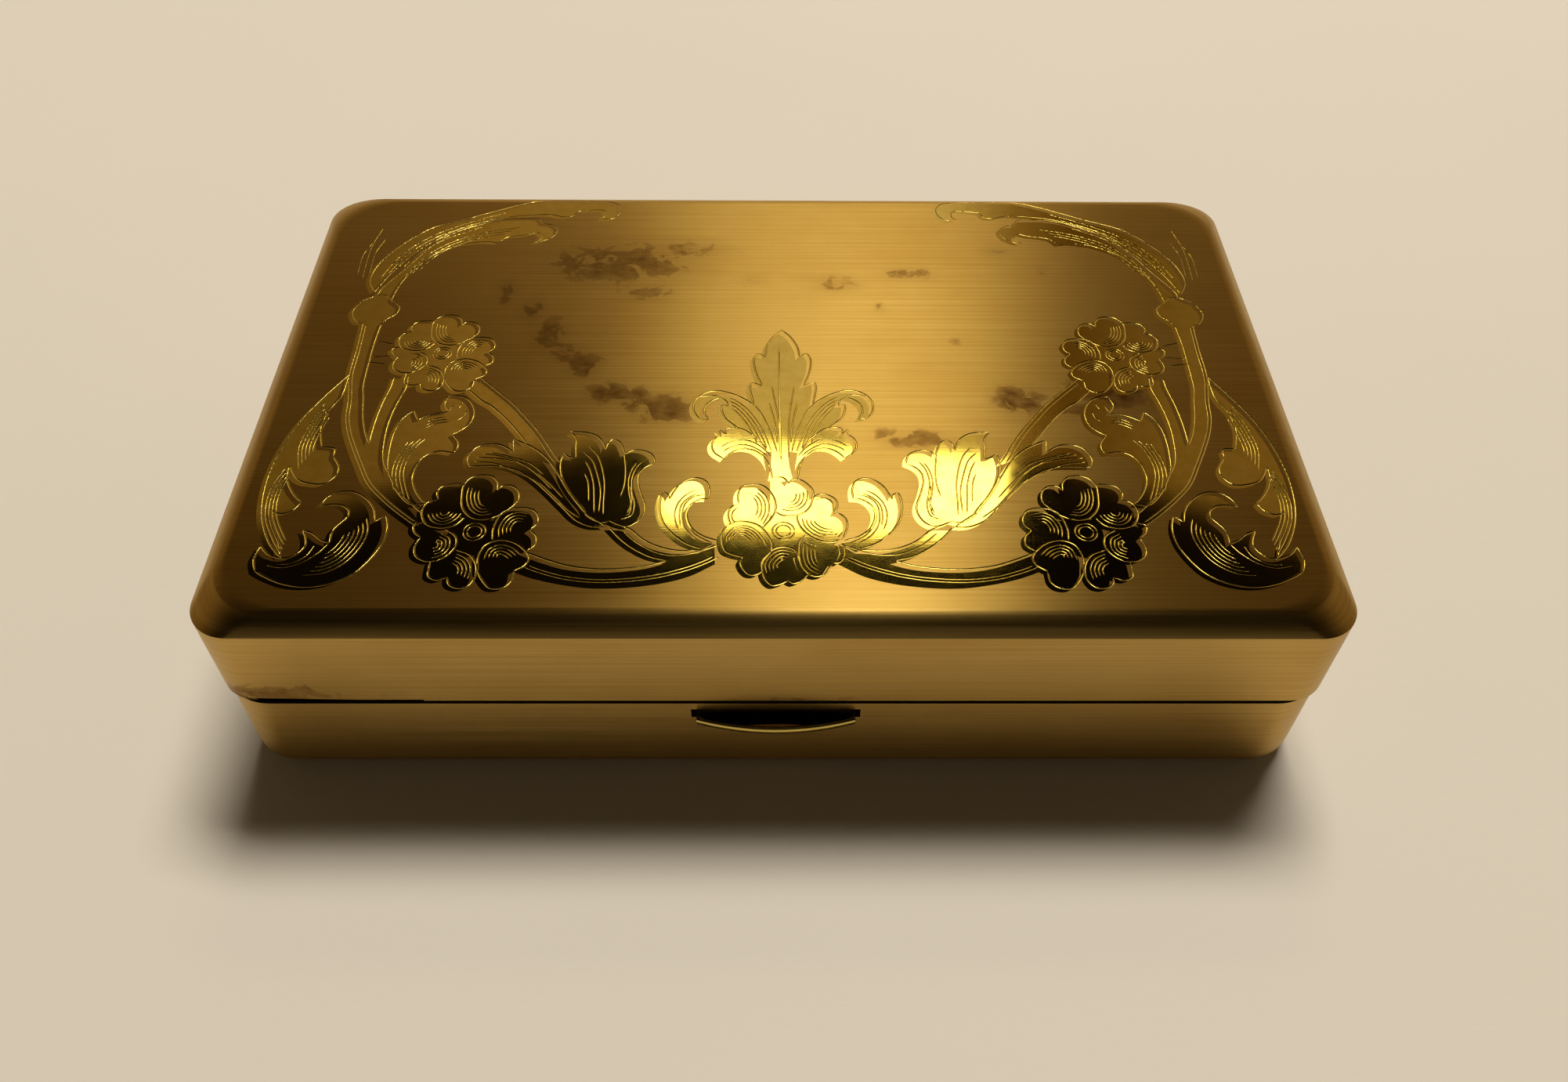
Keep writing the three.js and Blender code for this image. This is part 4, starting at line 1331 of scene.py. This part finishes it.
def card_height(x, y):
    return 0.02 * (1 + math.sin(x * 0.2) * math.sin(y * 0.3))


def boxes_mesh(name, boxes, material, bevel):
    """One mesh of several boxes, each (low corner, high corner), with bevelled edges."""
    work = bmesh.new()
    for low, high in boxes:
        made = bmesh.ops.create_cube(work, size=1.0)["verts"]
        middle = [(a + b) / 2 for a, b in zip(low, high)]
        size = [b - a for a, b in zip(low, high)]
        for vertex in made:
            vertex.co = Vector(m + c * d for m, c, d in zip(middle, vertex.co, size)) * MM
    bmesh.ops.bevel(
        work, geom=work.edges[:], offset=bevel * MM, segments=2, affect="EDGES", clamp_overlap=True,
    )
    mesh = bpy.data.meshes.new(name)
    work.to_mesh(mesh)
    work.free()
    mesh.materials.append(material)
    mesh.shade_smooth()
    mesh.set_sharp_from_angle(angle=math.radians(50))
    return in_scene(name, mesh)


def face_outwards(piece):
    with edited(piece.data) as work:
        bmesh.ops.recalc_face_normals(work, faces=work.faces)


def tab_section(x):
    """The thumb tab's section at x, as (y, z) points: a scooped top behind a raised front rim."""
    low = node_box("catch_button")[0]
    part = 1 - (x / TAB_HALF) ** 2
    front = low[1] + TAB_REACH * (1 - part)
    top, under = 9.6, 8.7
    back = -29.0
    scoop = 0.5 * min(1.0, (TAB_HALF - abs(x)) / 0.7) ** 0.7
    inner = front + TAB_RIM
    return [
        (back, under), (front + 0.35, under), (front + 0.12, under + 0.1), (front, under + 0.32),
        (front, top - 0.2), (front + 0.06, top - 0.06), (front + 0.15, top), (inner - 0.06, top),
        (inner, top - 0.08 - scoop * 0.25), (inner + 0.12, top - 0.1 - scoop * 0.7),
        (inner + 0.4, top - 0.08 - scoop), (back, top - 0.06 - scoop),
    ]


def thumb_tab():
    """The lens-shaped tab that shows through the slot, in polished brass."""
    turns = [math.sin(k / TAB_SECTIONS * math.pi - math.pi / 2) for k in range(TAB_SECTIONS + 1)]
    sections = [[(t * TAB_HALF, y, z) for y, z in tab_section(t * TAB_HALF)] for t in turns]
    count = len(sections[0])
    vertices = [p for section in sections for p in section]
    faces = [tuple(range(count))[::-1], tuple(range(len(vertices) - count, len(vertices)))]
    for start in range(0, len(vertices) - count, count):
        faces += band(range(start, start + count), range(start + count, start + 2 * count))
    tab = build_mesh("catch_thumb_tab", vertices, faces, [POLISHED_BRASS], sharp=35)
    face_outwards(tab)
    return tab


def catch():
    tab = thumb_tab()
    plate = boxes_mesh(
        "catch_plate",
        [((-8.5, -29.2, 7.6), (8.5, -28.7, 10.3)), ((-3, -28.5, 9.5), (3, -28.1, 13.1)),
         ((-3, -28.75, 12.6), (3, -28.1, 13.1)), ((-3, -28.75, 9.5), (3, -28.1, 10.2))],
        INNER_BRASS,
        0.08,
    )
    for piece in (tab, plate):
        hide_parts("catch_button")
        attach(piece, "catch")


def catch_spring(side):
    """Half of the leaf spring, from its end in the clip to its middle against the catch, fixed in place."""
    low, high = node_box("catch_spring")
    course = spline(SPRING_COURSE, 0.3)
    course[:, 0] *= side
    offset = normals_2d(course) * SPRING_HALF
    rows = []
    for line in (course - offset, course + offset):
        rows.append([(x, y, low[2]) for x, y in line])
        rows.append([(x, y, high[2]) for x, y in line])
    count = len(course)
    vertices = [p for row in rows for p in row]
    corner = [0, count, 3 * count, 2 * count]
    faces = [tuple(corner), tuple(c + count - 1 for c in corner)[::-1]]
    for k in range(count - 1):
        for a, b in zip(corner, corner[1:] + corner[:1]):
            faces.append((a + k, a + k + 1, b + k + 1, b + k))
    name = "catch_spring_" + ("right" if side > 0 else "left")
    piece = build_mesh(name, vertices, faces, [STEEL], sharp=40)
    face_outwards(piece)
    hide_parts("catch_spring")
    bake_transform(piece)


# Painted shade: the inner rim, seen through the narrow seam, gets the same very dark brass.
SEAM_SHADE_RIM = dark_shade_brass("seam_shade_rim_brass")
NODE_FINISH = {
    "base_inner_rim": SEAM_SHADE_RIM, "base_hinge_leaf": HINGE_BRASS, "hinge_pin": STEEL,
    "spring_clip_left": INNER_BRASS, "spring_clip_right": INNER_BRASS, "lid_hinge_leaf": HINGE_BRASS,
    "lid_catch_lip": INNER_BRASS, "lid_inner_frame": INNER_BRASS, "elastic_clip_left": HINGE_BRASS,
    "elastic_clip_right": HINGE_BRASS,
}

OTHER_FACES = [POLISHED_BRASS, CUT_BRASS, INNER_BRASS, EDGE_SHADE_BRASS]
finish_shell(lid_shell(), "lid_engraved_shell", "lid", "lid_shell", [LID_BRUSHED] + OTHER_FACES)
finish_shell(base_shell(), "base_brushed_shell", "case", "base_shell", [BASE_BRUSHED] + OTHER_FACES)
catch()
catch_spring(-1)
catch_spring(1)

soft_slab("base_lining_card", "base_card", CARD, 3.0, 0.2, 3.0, card_height)
felt = soft_slab("needle_felt_pad", "needle_felt", FELT, 3.7, 0.8, 0.9, felt_height)
for place in ("front", "rear"):
    name, node_name = "needle_strap_" + place, "needle_ribbon_" + place
    ribbon = soft_slab(name, node_name, RIBBON, 0.4, 0.12, 0.5, ribbon_height)
soft_slab("lid_lining_card", "lid_card", CARD, 3.0, 0.2, 3.0, card_height, up=False)
pad = soft_slab("lid_quilted_pad", "lid_pad", SATIN, 3.4, 0.55, 0.7, quilt_height, up=False)
elastic = soft_slab("lid_elastic_strap", "lid_elastic", ELASTIC, 0.4, 0.1, 0.25, elastic_height, up=False)

for node_name, finish in NODE_FINISH.items():
    node = frame["nodes"][node_name]
    if not node.data.materials:
        node.data.materials.append(finish)
    for material_slot in node.material_slots:
        material_slot.material = finish

# ---------- floor, light and camera ----------


FLOOR_HALF = 3.0
LAMP_DISTANCE = 1.6
CAMERA_LENS = 29.9
CAMERA_PLACE = (-0.587, -92.404, 104.688)
CAMERA_PITCH, CAMERA_YAW, CAMERA_ROLL = (math.radians(a) for a in (49.271, 0.99, 0.828))


def paper_floor():
    """A sheet of warm white paper, large enough to fill every view."""
    n = Surface("paper", Roughness=0.75)
    mottle = n.noise(n.place(), scale=6, detail=5)
    fibres = n.noise(n.mapped(n.place(), (500, 2500, 500)), detail=3)
    colour = n.mix(mottle, (0.59, 0.55, 0.475), (0.65, 0.605, 0.525))
    mesh = bpy.data.meshes.new("floor")
    mesh.from_pydata([(x * FLOOR_HALF, y * FLOOR_HALF, 0) for x, y in CORNERS], [], [(0, 1, 2, 3)])
    mesh.materials.append(n.finish(Base_Color=colour, Normal=n.bump(fibres, 0.00002, 0.4)))
    floor = in_scene("floor", mesh)


def direction(azimuth, elevation):
    """The unit vector towards a point of the sky. Azimuth 0 is behind the case, positive to the right."""
    a, e = math.radians(azimuth), math.radians(elevation)
    return Vector((math.sin(a) * math.cos(e), math.cos(a) * math.cos(e), math.sin(e)))


def panel_lamp(name, azimuth, elevation, width, height, power, colour, in_metal=True, on_floor=True):
    """A rectangular lamp that faces the case from a direction of the sky. in_metal says if metal
    reflects it, and on_floor if it lights matt surfaces."""
    data = bpy.data.lights.new(name, "AREA")
    data.shape = "RECTANGLE"
    data.size, data.size_y = width, height
    data.energy = power
    data.color = colour
    lamp = in_scene(name, data)
    where = direction(azimuth, elevation)
    lamp.location = where * LAMP_DISTANCE
    lamp.rotation_euler = where.to_track_quat("Z", "Y").to_euler()
    lamp.visible_glossy = in_metal
    lamp.visible_diffuse = on_floor


def room():
    """A warm wall behind the case that glows round the lamp, a dark ceiling and a dim room in front."""
    world = bpy.data.worlds.new("room")
    bpy.context.scene.world = world
    world.use_nodes = True
    n = Nodes(world.node_tree)
    background = world.node_tree.nodes["Background"]
    sky = n.new("ShaderNodeSeparateXYZ")
    n.link(n.new("ShaderNodeTexCoord").outputs["Generated"], sky.inputs[0])
    across, back, height = (n.scaled(sky.outputs[axis], 0.5, 0.5) for axis in "XYZ")

    def level(elevation):
        return math.sin(math.radians(elevation)) * 0.5 + 0.5

    wall = n.ramp(
        height,
        (level(-20), (0.40, 0.35, 0.26)), (level(0), (0.72, 0.63, 0.46)),
        (level(18), (0.78, 0.68, 0.50)), (level(31), (0.58, 0.50, 0.38)),
        (level(44.2), (0.64, 0.54, 0.41)), (level(44.9), (0.024, 0.02, 0.008)),
        (level(53), (0.012, 0.011, 0.003)), (level(70), (0.03, 0.027, 0.02)),
        (level(89), (0.06, 0.055, 0.045)),
    )
    glow = n.ramp(
        across,
        (0.0, (0.40, 0.34, 0.24)), (0.24, (0.36, 0.30, 0.20)), (0.33, (0.31, 0.25, 0.14)),
        (0.36, (0.34, 0.27, 0.16)), (0.40, (0.50, 0.40, 0.25)), (0.445, (0.60, 0.51, 0.37)),
        (0.475, (0.95, 0.92, 0.87)), (0.56, (1.15, 1.13, 1.05)), (0.59, (0.48, 0.38, 0.23)),
        (0.61, (0.22, 0.15, 0.06)), (0.65, (0.38, 0.30, 0.17)), (0.69, (0.38, 0.30, 0.18)),
        (0.77, (0.40, 0.33, 0.22)), (1.0, (0.42, 0.36, 0.26)),
    )
    dim, bright = (0.28, 0.24, 0.17), (0.75, 0.66, 0.50)
    low_glow = n.ramp(across, (0.15, dim), (0.38, bright), (0.62, bright), (0.85, dim))
    glow = n.mix(n.ramp(height, (level(12), 0.0), (level(27), 1.0)), low_glow, glow)
    depth = n.ramp(back, (0.25, 0.05), (0.60, 1.0))
    colour = n.mix(1.0, n.mix(1.0, wall, glow, "MULTIPLY"), depth, "MULTIPLY")
    n.link(colour, background.inputs["Color"])
    background.inputs["Strength"].default_value = 1.0


def set_camera():
    """The view from above the front edge, down and towards the back."""
    data = bpy.data.cameras.new("camera")
    data.lens = CAMERA_LENS
    data.sensor_width = 36.0
    data.clip_start = 0.01
    camera = in_scene("camera", data)
    right = Vector((math.cos(CAMERA_YAW), -math.sin(CAMERA_YAW), 0))
    level = Vector((math.sin(CAMERA_YAW), math.cos(CAMERA_YAW), 0))
    forward = level * math.cos(CAMERA_PITCH) - Vector((0, 0, math.sin(CAMERA_PITCH)))
    up = right.cross(forward)
    rolled_right = right * math.cos(CAMERA_ROLL) + up * math.sin(CAMERA_ROLL)
    rolled_up = up * math.cos(CAMERA_ROLL) - right * math.sin(CAMERA_ROLL)
    turn = Matrix((rolled_right, rolled_up, -forward)).transposed().to_4x4()
    camera.matrix_world = Matrix.Translation(Vector(CAMERA_PLACE) * MM) @ turn
    bpy.context.scene.camera = camera


paper_floor()
room()
panel_lamp("floor_lamp", 17, 65.5, 0.7, 0.42, 23.0, (1.0, 0.955, 0.9), in_metal=False)
panel_lamp("high_lamp", 11, 67, 0.26, 0.32, 1.65, (1.0, 0.94, 0.78))
panel_lamp("low_lamp", 4.4, 47.85, 0.45, 0.108, 0.74, (1.0, 0.91, 0.52))
panel_lamp("front_fill", 180, 16, 1.8, 0.5, 0.9, (1.0, 0.95, 0.86), on_floor=False)
panel_lamp("room_fill", 180, 45, 1.2, 1.2, 1.1, (1.0, 0.88, 0.70), in_metal=False)
set_camera()
bpy.context.scene.view_settings.view_transform = "Standard"
bpy.context.scene.view_settings.look = "Medium High Contrast"
